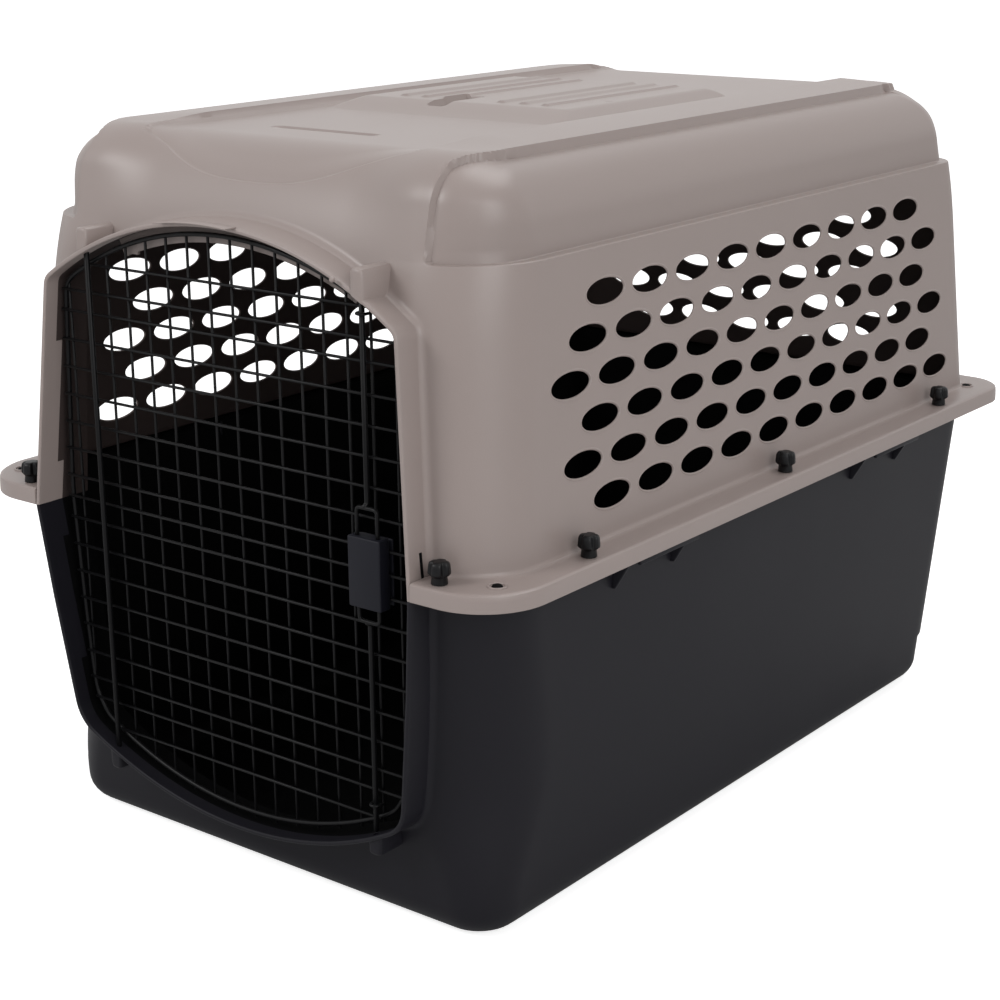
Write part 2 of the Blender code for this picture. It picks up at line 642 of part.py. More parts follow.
# ---------------------------------------------------------------- shells
def build_upper_shell():
    shell = mesh_object("upper_shell", cup(*upper_loops()), cutter=False)

    # sunken centre panel between the rails, with a raised plateau in its middle
    panel = box("cut_panel", (-RAIL_IN, RAIL_IN), (PANEL_CUT_FRONT, TOP_HY + PANEL_CUT_OVER),
                (PANEL_Z, PANEL_CUT_TOP))
    boolean(shell, panel, "DIFFERENCE")
    plateau = mesh_object("add_plateau", loft(plateau_loop(*PLATEAU_FOOT, PANEL_Z - 1),
                                              plateau_loop(*PLATEAU_HEAD, PLATEAU_Z)))
    boolean(shell, plateau, "UNION")

    # upper half of the collar, kept clear of the lower half
    outline = [(x, max(z, LIP_Z + GAP)) for x, z in clip_z(collar_outline(0.0), LIP_Z, True)]
    collar = prism("add_collar", outline, COLLAR_FRONT, COLLAR_BACK, lean=COLLAR_LEAN)
    boolean(shell, collar, "UNION")
    add_bosses(shell, UPPER_BOSSES)
    cut_opening(shell, "cut_opening")
    add_stop(shell)
    cut_holes(shell, "cut_upper_holes", flange_length=30.0,
              rod_holes=UPPER_ROD_HOLES, rod_length=34.0)
    cut_vents(shell)


def build_lower_shell():
    shell = mesh_object("lower_shell", cup(*lower_loops()), cutter=False)

    # clear the flange where the upper collar passes down through it
    outline = clip_z(collar_outline(-NOTCH_CLEAR), LIP_Z, True)
    notch = prism("cut_notch", outline, OPENING_FRONT, COLLAR_BACK + NOTCH_BACK)
    boolean(shell, notch, "DIFFERENCE")

    outline = clip_z(collar_outline(0.0), LIP_Z, False)
    collar = prism("add_collar_low", outline, COLLAR_FRONT, COLLAR_BACK, lean=COLLAR_LEAN)
    boolean(shell, collar, "UNION")
    add_bosses(shell, LOWER_BOSSES)
    cut_opening(shell, "cut_opening_low")
    add_grips(shell)
    cut_holes(shell, "cut_lower_holes", flange_length=14.0,
              rod_holes=LOWER_ROD_HOLES, rod_length=26.0)


# ---------------------------------------------------------------- door
def grid_cells():
    """Openings between the wires, clipped to the inside of the perimeter wire."""
    inner = door_outline(FRAME_WIRE)
    edges_x = [-GRID_FAR_X, *GRID_X, GRID_FAR_X]
    edges_z = [GRID_FAR_LOW, *GRID_Z, GRID_FAR_HIGH]
    half = WIRE / 2
    cells = []
    for left, right in zip(edges_x, edges_x[1:]):
        x0, x1 = left + half, right - half
        for low, high in zip(edges_z, edges_z[1:]):
            z0, z1 = low + half, high - half
            cell = clip_convex([(x0, z0), (x1, z0), (x1, z1), (x0, z1)], inner)
            if area(cell) > CELL_MIN_AREA:
                cells.append(cell)
    return cells


def build_door_grid():
    """A flat plate in the door plane, pierced by the grid cells."""
    curve = bpy.data.curves.new("door_grid_path", "CURVE")
    curve.dimensions = "2D"
    curve.fill_mode = "BOTH"
    curve.extrude = WIRE * MM / 2
    for outline in [door_outline(0.0)] + grid_cells():
        spline = curve.splines.new("POLY")
        spline.points.add(len(outline) - 1)
        for point, (x, z) in zip(spline.points, outline):
            point.co = (x * MM, z * MM, 0, 1)
        spline.use_cyclic_u = True
    upright = Matrix.Translation((0, DOOR_Y * MM, 0)) @ Matrix.Rotation(math.pi / 2, 4, "X")
    set_origin(curve_part("door_grid", curve, merge=0.000004, matrix=upright), HINGE_ORIGIN)


def build_hinge_rod():
    rod = cylinder("hinge_rod", (HINGE_X, ROD_Y, (HINGE_Z0 + HINGE_Z1) / 2), ROD_R,
                   HINGE_Z1 - HINGE_Z0, segs=12, cutter=False)
    round_shade(rod, 35)
    set_origin(rod, HINGE_ORIGIN)


def leg_cylinder(side, z, radius, length):
    return cylinder("leg", (LATCH_CX + side * LEG_DX, LEG_Y, z), radius, length,
                    segs=LEG_SEGS, turn=math.pi / LEG_SEGS)


def build_latch_rod(name, end_z, yoke_z, bar_z):
    """A long rod, a cross bar, two legs into the housing and an inner bar."""
    pieces = [
        cylinder("rod", (LATCH_X, ROD_Y, (end_z + yoke_z) / 2), ROD_R, abs(end_z - yoke_z),
                 segs=10),
        box("yoke", around(LATCH_CX, LEG_DX + LEG_R), (LEG_Y - LEG_R, ROD_Y + YOKE_BACK),
            around(yoke_z, YOKE_HZ)),
    ]
    for side in (-1, 1):
        pieces.append(leg_cylinder(side, (yoke_z + bar_z) / 2, LEG_R, abs(yoke_z - bar_z)))
    pieces.append(box("bar", around(LATCH_CX, LEG_DX + BAR_HY), around(LEG_Y, BAR_HY),
                      around(bar_z, BAR_HZ)))
    set_origin(union_part(name, pieces), (LATCH_X, ROD_Y, yoke_z))


def build_latch_cover():
    """Latch housing: a cover open at the back, with a middle web."""
    cover = box("latch_cover", around(LATCH_CX, LATCH_HX), (LATCH_Y0, LATCH_Y1),
                (LATCH_Z0, LATCH_Z1), cutter=False)
    pockets = ((LATCH_Z0 + COVER_END_T, LATCH_MID - COVER_WEB_T / 2),
               (LATCH_MID + COVER_WEB_T / 2, LATCH_Z1 - COVER_END_T))
    for k, z_range in enumerate(pockets):
        pocket = box(f"cut_latch_{k}", around(LATCH_CX, LATCH_HX - COVER_SIDE_T),
                     (LATCH_Y0 + COVER_FRONT_T, LATCH_Y1 + COVER_CUT_OVER), z_range)
        boolean(cover, pocket, "DIFFERENCE")
    leg_holes = [leg_cylinder(side, LATCH_MID + end * LEG_HOLE_DZ, LEG_R + LEG_CLEAR,
                              LEG_HOLE_LENGTH)
                 for side in (-1, 1) for end in (-1, 1)]
    boolean(cover, joined("cut_latch_legs", leg_holes), "DIFFERENCE")


def build_latch_back_plate():
    front = DOOR_Y + WIRE / 2 + GAP
    box("latch_back_plate", around(LATCH_CX, LATCH_HX), (front, front + BACK_PLATE_T),
        (LATCH_Z0 + COVER_END_T, LATCH_Z1 - COVER_END_T), cutter=False)


def build_spring(name, z0, z1):
    """A coil about the middle of the latch, between two heights."""
    curve = bpy.data.curves.new(name + "_path", "CURVE")
    curve.dimensions = "3D"
    curve.bevel_depth = SPRING_WIRE_R * MM
    curve.bevel_resolution = 1
    curve.use_fill_caps = True
    spline = curve.splines.new("POLY")
    count = SPRING_TURNS * SPRING_TURN_STEPS
    spline.points.add(count)
    for k, point in enumerate(spline.points):
        a = 2 * math.pi * k / SPRING_TURN_STEPS
        x = LATCH_CX + SPRING_R * math.cos(a)
        y = LEG_Y + SPRING_R * math.sin(a)
        z = z0 + SPRING_WIRE_R + (z1 - z0 - 2 * SPRING_WIRE_R) * k / count
        point.co = (x * MM, y * MM, z * MM, 1)
    round_shade(curve_part(name, curve, merge=0.00001, matrix=Matrix()), 60)


def build_rod_guide(name, z):
    """U-shaped guide around the front of a latch rod, with its legs towards the grid."""
    outline = []
    for radius, order in ((GUIDE_R, 1), (GUIDE_BORE_R, -1)):
        half = [(LATCH_X - radius, ROD_Y + GUIDE_BACK)]
        for k in range(GUIDE_STEPS + 1):
            a = math.pi * (1 + k / GUIDE_STEPS)
            half.append((LATCH_X + radius * math.cos(a), ROD_Y + radius * math.sin(a)))
        half.append((LATCH_X + radius, ROD_Y + GUIDE_BACK))
        outline += half[::order]
    faces = [[(x, y, z_face) for x, y in outline] for z_face in around(z, GUIDE_HZ)]
    mesh_object(name, loft(*faces), cutter=False)


# ---------------------------------------------------------------- bolts and wing nuts
def build_bolt(name, x, y):
    shank = cylinder("shank", (x, y, SHANK_Z), SHANK_R, SHANK_LENGTH, segs=8)
    head = cylinder("head", (x, y, HEAD_Z), HEAD_R, HEAD_LENGTH, segs=10)
    set_origin(union_part(name, [shank, head]), (x, y, FLANGE_TOP))


def build_wing_nut(name, x, y):
    """A round hub with crossed wings, bored through."""
    hub_z = FLANGE_TOP + GAP + NUT_LENGTH / 2
    nut = union_part(name, [
        cylinder("hub", (x, y, hub_z), NUT_R, NUT_LENGTH, segs=12),
        box("wing", around(x, WING_HALF), around(y, WING_HT), WING_Z),
        box("wing", around(x, WING_HT), around(y, WING_HALF), WING_Z),
    ])
    bore = cylinder("bore", (x, y, BORE_Z), BORE_R, BORE_LENGTH, segs=8)
    bake_booleans(nut, [bore], "DIFFERENCE")
    set_origin(nut, (x, y, FLANGE_TOP))


# ---------------------------------------------------------------- parenting
DOOR_PARTS = (
    "door_grid", "hinge_rod", "latch_cover", "latch_back_plate",
    "upper_latch_rod", "lower_latch_rod", "upper_latch_spring", "lower_latch_spring",
    "upper_rod_guide", "lower_rod_guide",
)


def parent_door():
    """Hang everything that swings with the door on an empty at the hinge."""
    axis = link(bpy.data.objects.new("door_axis", None))
    axis.location = Vector(HINGE_ORIGIN) * MM
    bpy.context.view_layer.update()
    for name in DOOR_PARTS:
        ob = bpy.data.objects[name]
        world = ob.matrix_world.copy()
        ob.parent = axis
        ob.matrix_parent_inverse = axis.matrix_world.inverted()
        ob.matrix_world = world
    bpy.context.view_layer.update()


# ---------------------------------------------------------------- build
build_upper_shell()
build_lower_shell()
build_door_grid()
build_hinge_rod()
build_latch_rod("upper_latch_rod", ROD_UP_END, YOKE_UP, LATCH_MID + BAR_OFF)
build_latch_rod("lower_latch_rod", ROD_LOW_END, YOKE_LOW, LATCH_MID - BAR_OFF)
build_latch_cover()
build_latch_back_plate()
build_spring("upper_latch_spring", LATCH_MID + SPRING_END, LATCH_MID + BAR_OFF - SPRING_END)
build_spring("lower_latch_spring", LATCH_MID - BAR_OFF + SPRING_END, LATCH_MID - SPRING_END)
build_rod_guide("upper_rod_guide", GUIDE_UP_Z)
build_rod_guide("lower_rod_guide", GUIDE_LOW_Z)
for bolt_name, (bolt_x, bolt_y) in BOLTS.items():
    build_bolt("bolt_" + bolt_name, bolt_x, bolt_y)
    build_wing_nut("wing_nut_" + bolt_name, bolt_x, bolt_y)
for part in PARTS.objects:
    apply_material(part)
parent_door()
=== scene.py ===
"""Pet transport carrier: a taupe upper shell on a charcoal lower shell, with a wire door in front.

Sizes are in millimetres and meshes are scaled to metres when they are made. The door faces -Y,
+X is the carrier's right in the front view and Z is up from the floor it stands on. The shells
meet at flanges near Z 330. Each shell is one skin, walked anticlockwise seen from above.
"""
import json
import math
from collections import namedtuple

import bpy
import bmesh
import numpy as np
from mathutils import Matrix, Vector

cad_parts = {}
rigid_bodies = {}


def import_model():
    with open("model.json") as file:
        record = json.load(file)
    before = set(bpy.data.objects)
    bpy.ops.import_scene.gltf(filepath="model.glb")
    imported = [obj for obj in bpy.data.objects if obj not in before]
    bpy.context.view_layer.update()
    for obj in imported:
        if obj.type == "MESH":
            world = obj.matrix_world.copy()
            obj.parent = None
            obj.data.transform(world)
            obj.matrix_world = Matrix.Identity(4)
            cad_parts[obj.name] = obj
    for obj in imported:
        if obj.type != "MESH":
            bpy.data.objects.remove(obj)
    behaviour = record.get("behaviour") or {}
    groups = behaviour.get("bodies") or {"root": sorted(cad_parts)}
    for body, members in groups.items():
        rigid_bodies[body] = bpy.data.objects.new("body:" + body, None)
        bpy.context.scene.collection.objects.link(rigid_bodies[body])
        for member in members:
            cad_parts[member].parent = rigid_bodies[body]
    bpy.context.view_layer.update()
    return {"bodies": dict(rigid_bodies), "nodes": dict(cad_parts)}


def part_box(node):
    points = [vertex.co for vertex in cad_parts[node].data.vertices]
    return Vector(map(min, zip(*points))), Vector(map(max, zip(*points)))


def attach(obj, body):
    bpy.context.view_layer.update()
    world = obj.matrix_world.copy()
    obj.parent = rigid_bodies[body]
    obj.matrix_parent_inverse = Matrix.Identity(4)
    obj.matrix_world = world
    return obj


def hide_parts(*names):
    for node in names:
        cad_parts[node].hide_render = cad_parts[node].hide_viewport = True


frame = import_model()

MM = 0.001
HALF_PI = math.pi / 2

UPPER = dict(body="upper_shell", slot="shell_upper")
LOWER = dict(body="lower_shell", slot="shell_lower")

# Collar round the door opening, in the X, Z plane: an arch above, a sill arc below
ARCH_CENTRE_Z, ARCH_RADIUS = 236.0, 356.0
SILL_CENTRE_Z, SILL_RADIUS = 433.5, 383.0
COLLAR_HALF_X = 224.0                # at the joint between the shells
JOINT_Z = 316.5
COLLAR_BACK_Y = -392.0
LIP_FILLET = 5.0                     # between the front wall and the collar
FLANGE_ROOT_X = 281.2                # half width of the wall where the flange leaves it

# Door hardware
HINGE_X, LATCH_X, LATCH_CENTRE_X, ROD_Y = -156.8, 162.0, 164.0, -428.6
DOOR_Y = -423.0


# ------------------------------------------------------------------ arithmetic
def smooth(t):
    t = np.clip(t, 0.0, 1.0)
    return t * t * (3 - 2 * t)


def lerp(start, end, t):
    return start + (end - start) * t


def bezier(start, corner, end, t):
    """Point of a quadratic curve that rounds a corner."""
    return start * (1 - t) ** 2 + 2 * corner * t * (1 - t) + end * t * t


def resample(points, count):
    """The polyline as `count` segments of equal length."""
    steps = np.linalg.norm(np.diff(points, axis=0), axis=1)
    length = np.concatenate([[0], np.cumsum(steps)])
    places = np.linspace(0, length[-1], count + 1)
    return np.stack([np.interp(places, length, points[:, k]) for k in range(2)], 1)


def rounded_min(a, b, radius):
    """The smaller of two distances from an edge, with the corner between the edges rounded."""
    both = (a < radius) & (b < radius)
    return np.where(both, radius - np.hypot(radius - a, radius - b), np.minimum(a, b))


def corner_middle(half_along, radius):
    """Developed coordinate of a rounded rectangle's 45 degree point."""
    return half_along - radius + radius * math.pi / 4


def round_corner(along, half_along, half_across, radius):
    """Place along and across a rounded rectangle's wall at a developed coordinate, and the turn."""
    distance = np.abs(along)
    flat = half_along - radius
    turn = np.clip((distance - flat) / radius, 0, HALF_PI)
    sign = np.where(np.asarray(along) < 0, -1.0, 1.0)
    place = np.where(distance <= flat, distance, flat + radius * np.sin(turn)) * sign
    return place, (half_across - radius) + radius * np.cos(turn), turn


# ------------------------------------------------------------------ mesh helpers
class Builder:
    """Collects vertices and faces of one mesh."""

    def __init__(self):
        self.points = []
        self.faces = []
        self.count = 0

    def add(self, points):
        points = np.asarray(points, float).reshape(-1, 3)
        self.points.append(points)
        self.count += len(points)
        return np.arange(self.count - len(points), self.count)

    def quads(self, a, b, closed=False):
        """Join two index rows of the same length."""
        count = len(a)
        for i in range(count if closed else count - 1):
            after = (i + 1) % count
            self.faces.append((a[i], a[after], b[after], b[i]))

    def grid(self, index, keep, flip=False):
        """Faces of the kept cells; a last column of cells, if any, wraps round to the first."""
        for j, i in np.argwhere(keep):
            left, right = i, (i + 1) % index.shape[1]
            if flip:
                left, right = right, left
            self.faces.append((index[j, left], index[j, right],
                               index[j + 1, right], index[j + 1, left]))


def add_tube(mesh, path, radius, segments=10, closed=False):
    """A round tube along a path, with frames carried along it and domed ends."""
    points = np.asarray(path, float)
    if closed:
        tangents = np.roll(points, -1, 0) - np.roll(points, 1, 0)
    else:
        tangents = np.empty_like(points)
        tangents[1:-1] = points[2:] - points[:-2]
        tangents[0] = points[1] - points[0]
        tangents[-1] = points[-1] - points[-2]
    tangents /= np.linalg.norm(tangents, axis=1)[:, None]
    normal = np.array([0.0, 1.0, 0.0])
    if abs(tangents[0] @ normal) > 0.9:
        normal = np.array([1.0, 0.0, 0.0])
    angles = (np.arange(segments) * 2 * math.pi / segments)[:, None]
    circles, rings = [], []
    for point, tangent in zip(points, tangents):
        normal = normal - tangent * (normal @ tangent)
        normal /= np.linalg.norm(normal)
        binormal = np.cross(tangent, normal)
        circles.append(point + radius * (np.cos(angles) * normal + np.sin(angles) * binormal))
        rings.append(mesh.add(circles[-1]))
    for a, b in zip(rings, rings[1:] + (rings[:1] if closed else [])):
        mesh.quads(a, b, closed=True)
    if closed:
        return
    for end, outward in ((0, -1), (-1, 1)):
        axis = outward * tangents[end] * radius
        ring = rings[end]
        small = mesh.add(points[end] + axis * 0.28 + (circles[end] - points[end]) * 0.72)
        tip = mesh.add([points[end] + axis * 0.35])[0]
        for k in range(segments):
            after = (k + 1) % segments
            for face in ((ring[k], ring[after], small[after], small[k]),
                         (small[k], small[after], tip)):
                mesh.faces.append(face[::outward])


def round_path(points, radius, steps=5):
    """Round the inner corners of a polyline in space."""
    points = [np.asarray(p, float) for p in points]
    path = [points[0]]
    for before, corner, after in zip(points, points[1:], points[2:]):
        back, ahead = before - corner, after - corner
        back_length, ahead_length = np.linalg.norm(back), np.linalg.norm(ahead)
        cut = min(radius, 0.49 * back_length, 0.49 * ahead_length)
        start, end = corner + back / back_length * cut, corner + ahead / ahead_length * cut
        path += [bezier(start, corner, end, k / steps) for k in range(steps + 1)]
    return path + [points[-1]]


def clean(ob, distance):
    """Weld close vertices, drop loose ones and point the faces outwards."""
    work = bmesh.new()
    work.from_mesh(ob.data)
    bmesh.ops.remove_doubles(work, verts=work.verts, dist=distance)
    bmesh.ops.dissolve_degenerate(work, dist=0.000002, edges=work.edges)
    loose = [v for v in work.verts if not v.link_faces]
    bmesh.ops.delete(work, geom=loose, context="VERTS")
    bmesh.ops.recalc_face_normals(work, faces=work.faces)
    work.to_mesh(ob.data)
    work.free()
    ob.data.update()


def sharpen(ob, angle):
    ob.data.set_sharp_from_angle(angle=math.radians(angle))


def place_object(name, data, material, body, angle):
    ob = bpy.data.objects.new(name, data)
    bpy.context.scene.collection.objects.link(ob)
    data.shade_smooth()
    sharpen(ob, angle)
    if material is not None:
        data.materials.append(material)
    if body:
        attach(ob, body)
    return ob


def new_object(name, mesh, material=None, body=None, slot=None, angle=40.0, weld=0.00001):
    """An object from a Builder; weld is a distance in metres, or None to leave the mesh as it is."""
    data = bpy.data.meshes.new(name)
    data.from_pydata([tuple(v) for v in np.concatenate(mesh.points) * MM], [],
                     [tuple(int(i) for i in face) for face in mesh.faces])
    data.update()
    ob = place_object(name, data, material, body, angle)
    if weld:
        clean(ob, weld)
    return ob


def bevelled_box(name, low, high, bevel, material=None, body=None, slot=None, segments=3,
                 shape=None):
    """A box with rounded edges; shape can edit the 8 corners before bevelling."""
    work = bmesh.new()
    bmesh.ops.create_cube(work, size=1.0)
    for v in work.verts:
        for k in range(3):
            v.co[k] = low[k] if v.co[k] < 0 else high[k]
        if shape:
            shape(v)
    bmesh.ops.bevel(work, geom=work.edges[:] + work.verts[:], offset=bevel, segments=segments,
                    profile=0.5, affect="EDGES")
    bmesh.ops.scale(work, verts=work.verts, vec=(MM, MM, MM))
    bmesh.ops.recalc_face_normals(work, faces=work.faces)
    data = bpy.data.meshes.new(name)
    work.to_mesh(data)
    work.free()
    return place_object(name, data, material, body, 50)


def apply_modifiers(ob):
    graph = bpy.context.evaluated_depsgraph_get()
    data = bpy.data.meshes.new_from_object(ob.evaluated_get(graph))
    ob.modifiers.clear()
    old = ob.data
    ob.data = data
    bpy.data.meshes.remove(old)


def add_cut(ob, tool):
    cut = ob.modifiers.new("cut", "BOOLEAN")
    cut.object = tool
    cut.operation = "DIFFERENCE"
    cut.solver = "EXACT"


def set_material(ob, material):
    ob.data.materials.clear()
    ob.data.materials.append(material)


# ------------------------------------------------------------------ materials
def new_material(name):
    material = bpy.data.materials.new(name)
    material.use_nodes = True
    return material, material.node_tree, material.node_tree.nodes["Principled BSDF"]


def add_node(tree, kind, inputs=None, operation=None):
    node = tree.nodes.new(kind)
    if operation:
        node.operation = operation
    for key, value in (inputs or {}).items():
        node.inputs[key].default_value = value
    return node


def add_bump(tree, shader, height, strength, distance):
    bump = add_node(tree, "ShaderNodeBump", {"Strength": strength, "Distance": distance})
    tree.links.new(height.outputs["Fac"], bump.inputs["Height"])
    tree.links.new(bump.outputs["Normal"], shader.inputs["Normal"])


def add_range(tree, source, low, high):
    """Output socket that maps a noise's 0 to 1 onto low to high."""
    node = add_node(tree, "ShaderNodeMapRange", {"To Min": low, "To Max": high})
    tree.links.new(source.outputs["Fac"], node.inputs["Value"])
    return node.outputs["Result"]


def moulded_plastic(name, rgb, roughness, specular, grain=0.14, mottling=0.04):
    """Moulded plastic: grain is the strength of a fine bump, mottling a broad colour variation."""
    material, tree, shader = new_material(name)
    place = add_node(tree, "ShaderNodeTexCoord")
    fine = add_node(tree, "ShaderNodeTexNoise", {"Scale": 900.0, "Detail": 3.0, "Roughness": 0.6})
    broad = add_node(tree, "ShaderNodeTexNoise", {"Scale": 6.0, "Detail": 4.0})
    for noise in (fine, broad):
        tree.links.new(place.outputs["Object"], noise.inputs["Vector"])
    add_bump(tree, shader, fine, strength=grain, distance=0.0005)
    brightness = add_range(tree, broad, 1.0 - mottling, 1.0 + mottling)
    colour = add_node(tree, "ShaderNodeVectorMath", {0: rgb}, operation="SCALE")
    tree.links.new(brightness, colour.inputs["Scale"])
    tree.links.new(colour.outputs["Vector"], shader.inputs["Base Color"])
    varied = add_range(tree, broad, max(roughness - 0.05, 0.05), roughness + 0.05)
    tree.links.new(varied, shader.inputs["Roughness"])
    shader.inputs["Specular IOR Level"].default_value = specular
    material.diffuse_color = (*rgb, 1)
    return material


def coated_wire(name, rgb, roughness, specular=0.5, metallic=0.0):
    material, tree, shader = new_material(name)
    place = add_node(tree, "ShaderNodeTexCoord")
    noise = add_node(tree, "ShaderNodeTexNoise", {"Scale": 400.0, "Detail": 2.0})
    tree.links.new(place.outputs["Object"], noise.inputs["Vector"])
    add_bump(tree, shader, noise, strength=0.08, distance=0.0003)
    varied = add_range(tree, noise, roughness - 0.05, roughness + 0.08)
    tree.links.new(varied, shader.inputs["Roughness"])
    shader.inputs["Base Color"].default_value = (*rgb, 1)
    shader.inputs["Metallic"].default_value = metallic
    shader.inputs["Specular IOR Level"].default_value = specular
    material.diffuse_color = (*rgb, 1)
    return material


TAUPE = moulded_plastic("taupe_moulded", (0.300, 0.248, 0.232), roughness=0.38, specular=0.5,
                        mottling=0.03)
TAUPE_SHADED = moulded_plastic("taupe_shaded", (0.20, 0.168, 0.158), roughness=0.45,
                               specular=0.3, mottling=0.03)
# painted shade: a much darker copy of the taupe, for the upper shell's and collar's insides where
# shade falls
TAUPE_PAINTED_SHADE = moulded_plastic("taupe_painted_shade", (0.046, 0.034, 0.032), roughness=0.6, specular=0.1,
                              mottling=0.03)
CHARCOAL = moulded_plastic("charcoal_moulded", (0.0095, 0.0090, 0.0125), roughness=0.46,
                           specular=0.17)
# painted shade: a darker copy of the charcoal, for the lower shell's and collar's insides, the
# collar slots and the tie-down openings
CHARCOAL_PAINTED_SHADE = moulded_plastic("charcoal_painted_shade", (0.002, 0.002, 0.0022), roughness=0.6,
                                 specular=0.06)
BLACK = moulded_plastic("black_moulded", (0.0035, 0.0035, 0.0042), roughness=0.36,
                        specular=0.22, grain=0.10)
LATCH_PLASTIC = moulded_plastic("latch_plastic", (0.0075, 0.0078, 0.0125), roughness=0.5,
                                specular=0.18, grain=0.12)
WIRE = coated_wire("coated_wire", (0.0035, 0.0035, 0.004), roughness=0.36, specular=0.16)
STEEL = coated_wire("zinc_steel", (0.42, 0.42, 0.43), roughness=0.3, metallic=1.0)

# ------------------------------------------------------------------ columns of a shell
# axis is the one the wall runs along and side the sign of its other axis. end is 0 on the flat,
# where value is the coordinate. On a corner half it is the corner's sign along the wall, and
# value runs from 0 at 45 degrees to 1 at the fixed coordinate.
Column = namedtuple("Column", "axis side end value fixed")


def loop_columns(front_values, side_values, front_corner, side_corner):
    """Columns from the front left 45 degree point all round, and the count after each wall."""
    columns, ends = [], []
    walls = (("x", -1, 1), ("y", 1, 1), ("x", 1, -1), ("y", -1, -1))
    for k, (axis, side, direction) in enumerate(walls):
        values, half = (front_values, front_corner) if axis == "x" else (side_values, side_corner)
        fixed = {-1: abs(values[0]), 1: abs(values[-1])}
        for c in range(0 if k == 0 else 1, half):
            columns.append(Column(axis, side, -direction, c / half, fixed[-direction]))
        columns += [Column(axis, side, 0, value, None) for value in values[::direction]]
        for c in range(1, half if k == 3 else half + 1):
            columns.append(Column(axis, side, direction, 1 - c / half, fixed[direction]))
        ends.append(len(columns))
    return columns, ends


def is_rear(column):
    if column.axis == "x":
        return column.side > 0
    return (column.end or column.value) > 0


def column_along(column, half_along, radius, scale=1.0):
    """Developed coordinate of a column; scale draws the flat's columns together."""
    if not column.end:
        return column.value * scale
    middle = corner_middle(half_along, radius)
    return column.end * lerp(middle, column.fixed * scale, column.value)


def used_corners(keep):
    """Grid points that belong to a kept cell."""
    touched = keep | np.roll(keep, 1, axis=1)
    used = np.zeros((keep.shape[0] + 1, keep.shape[1]), bool)
    used[:-1] |= touched
    used[1:] |= touched
    return used


def opening_boundary(rows, front_count):
    """Row and column indices along the front patch's edge: right column, across, left column."""
    row = np.concatenate([np.arange(rows), np.full(front_count, rows), np.arange(rows)[::-1]])
    column = np.concatenate([np.full(rows, front_count - 1), np.arange(front_count)[::-1],
                             np.full(rows, 0)])
    return row, column


def front_opening(mesh, edge, edge_x, edge_label, outline, normals, surface, label_of_z, steps,
                  flip):
    """Fill the front wall from the patch's edge to the collar, with a fillet forwards.

    Returns the indices along the patch's right and left feet."""
    previous = edge
    feet = [(edge[0], edge[-1])]

    def add_ring(points):
        nonlocal previous
        ring = mesh.add(points)
        if flip:
            mesh.quads(ring, previous)
        else:
            mesh.quads(previous, ring)
        previous = ring
        feet.append((ring[0], ring[-1]))

    outer = outline + normals * LIP_FILLET
    outer[0, 1] = outer[-1, 1] = outline[0, 1]
    outer_label = label_of_z(outer[:, 1])
    for k in range(1, steps + 1):
        t = (k / steps) ** 0.9
        add_ring(surface(lerp(edge_x, outer[:, 0], t), lerp(edge_label, outer_label, t)))
    for k in range(1, 6):
        turn = HALF_PI * k / 5
        ring = outline + normals * LIP_FILLET * (1 - math.sin(turn))
        forward = LIP_FILLET * (1 - math.cos(turn))
        if k == 5:      # tuck the edge into the collar
            ring = outline - normals * 0.25
            forward += 1.0
        points = surface(ring[:, 0], label_of_z(ring[:, 1]))
        add_ring(points + np.array([0, -1.0, 0]) * forward)
    return zip(*feet)


def flange_point(column, sizes, z):
    half_x, half_y, radius = sizes
    half_along, half_across = (half_x, half_y) if column.axis == "x" else (half_y, half_x)
    along = column_along(column, half_along, radius)
    place, across, _ = round_corner(along, half_along, half_across, radius)
    across = column.side * across
    return (place, across, z) if column.axis == "x" else (across, place, z)


def flange_sizes(root, lip, share):
    return [lerp(inner, outer, share) for inner, outer in zip(root, lip)]


def add_flange(mesh, columns, previous, rows, root, lip, flip):
    """Flange rings; root and lip hold half x, half y and corner radius, keyed by is_rear."""
    reach = max(offset for offset, z in rows)
    rings = []
    for offset, z in rows:
        sizes = {rear: flange_sizes(root[rear], lip[rear], offset / reach)
                 for rear in (False, True)}
        ring = mesh.add([flange_point(c, sizes[is_rear(c)], z) for c in columns])
        if flip:
            mesh.quads(previous, ring)
        else:
            mesh.quads(ring, previous)
        previous = ring
        rings.append(ring)
    return rings


def patch_edges(ends):
    """Columns along the front, back, left and right edges of the patch inside a loop."""
    front, right, back, count = ends
    return (list(range(front)), list(range(back - 1, right - 2, -1)),
            [0] + list(range(count - 1, back - 2, -1)), list(range(front - 1, right)))


def coons_patch(loop, edges):
    """Points blended between four edges of a loop; rows run back and columns run right."""
    front, back, left, right = (loop[edge] for edge in edges)
    across = (front[:, 0] - front[0, 0]) / (front[-1, 0] - front[0, 0])
    along = (right[:, 1] - right[0, 1]) / (right[-1, 1] - right[0, 1])
    u, v = (t[..., None] for t in np.meshgrid(across, along))
    return ((1 - v) * front[None] + v * back[None] + (1 - u) * left[:, None] + u * right[:, None]
            - (1 - u) * (1 - v) * front[0] - u * (1 - v) * front[-1]
            - (1 - u) * v * back[0] - u * v * back[-1])


def add_patch(mesh, points, loop_index, edges, flip=False):
    rows, columns = points.shape[:2]
    index = np.full((rows, columns), -1)
    front, back, left, right = (loop_index[edge] for edge in edges)
    index[0, :], index[-1, :], index[:, 0], index[:, -1] = front, back, left, right
    index[1:-1, 1:-1] = mesh.add(points[1:-1, 1:-1]).reshape(rows - 2, columns - 2)
    mesh.grid(index, np.ones((rows - 1, columns - 1), bool), flip)


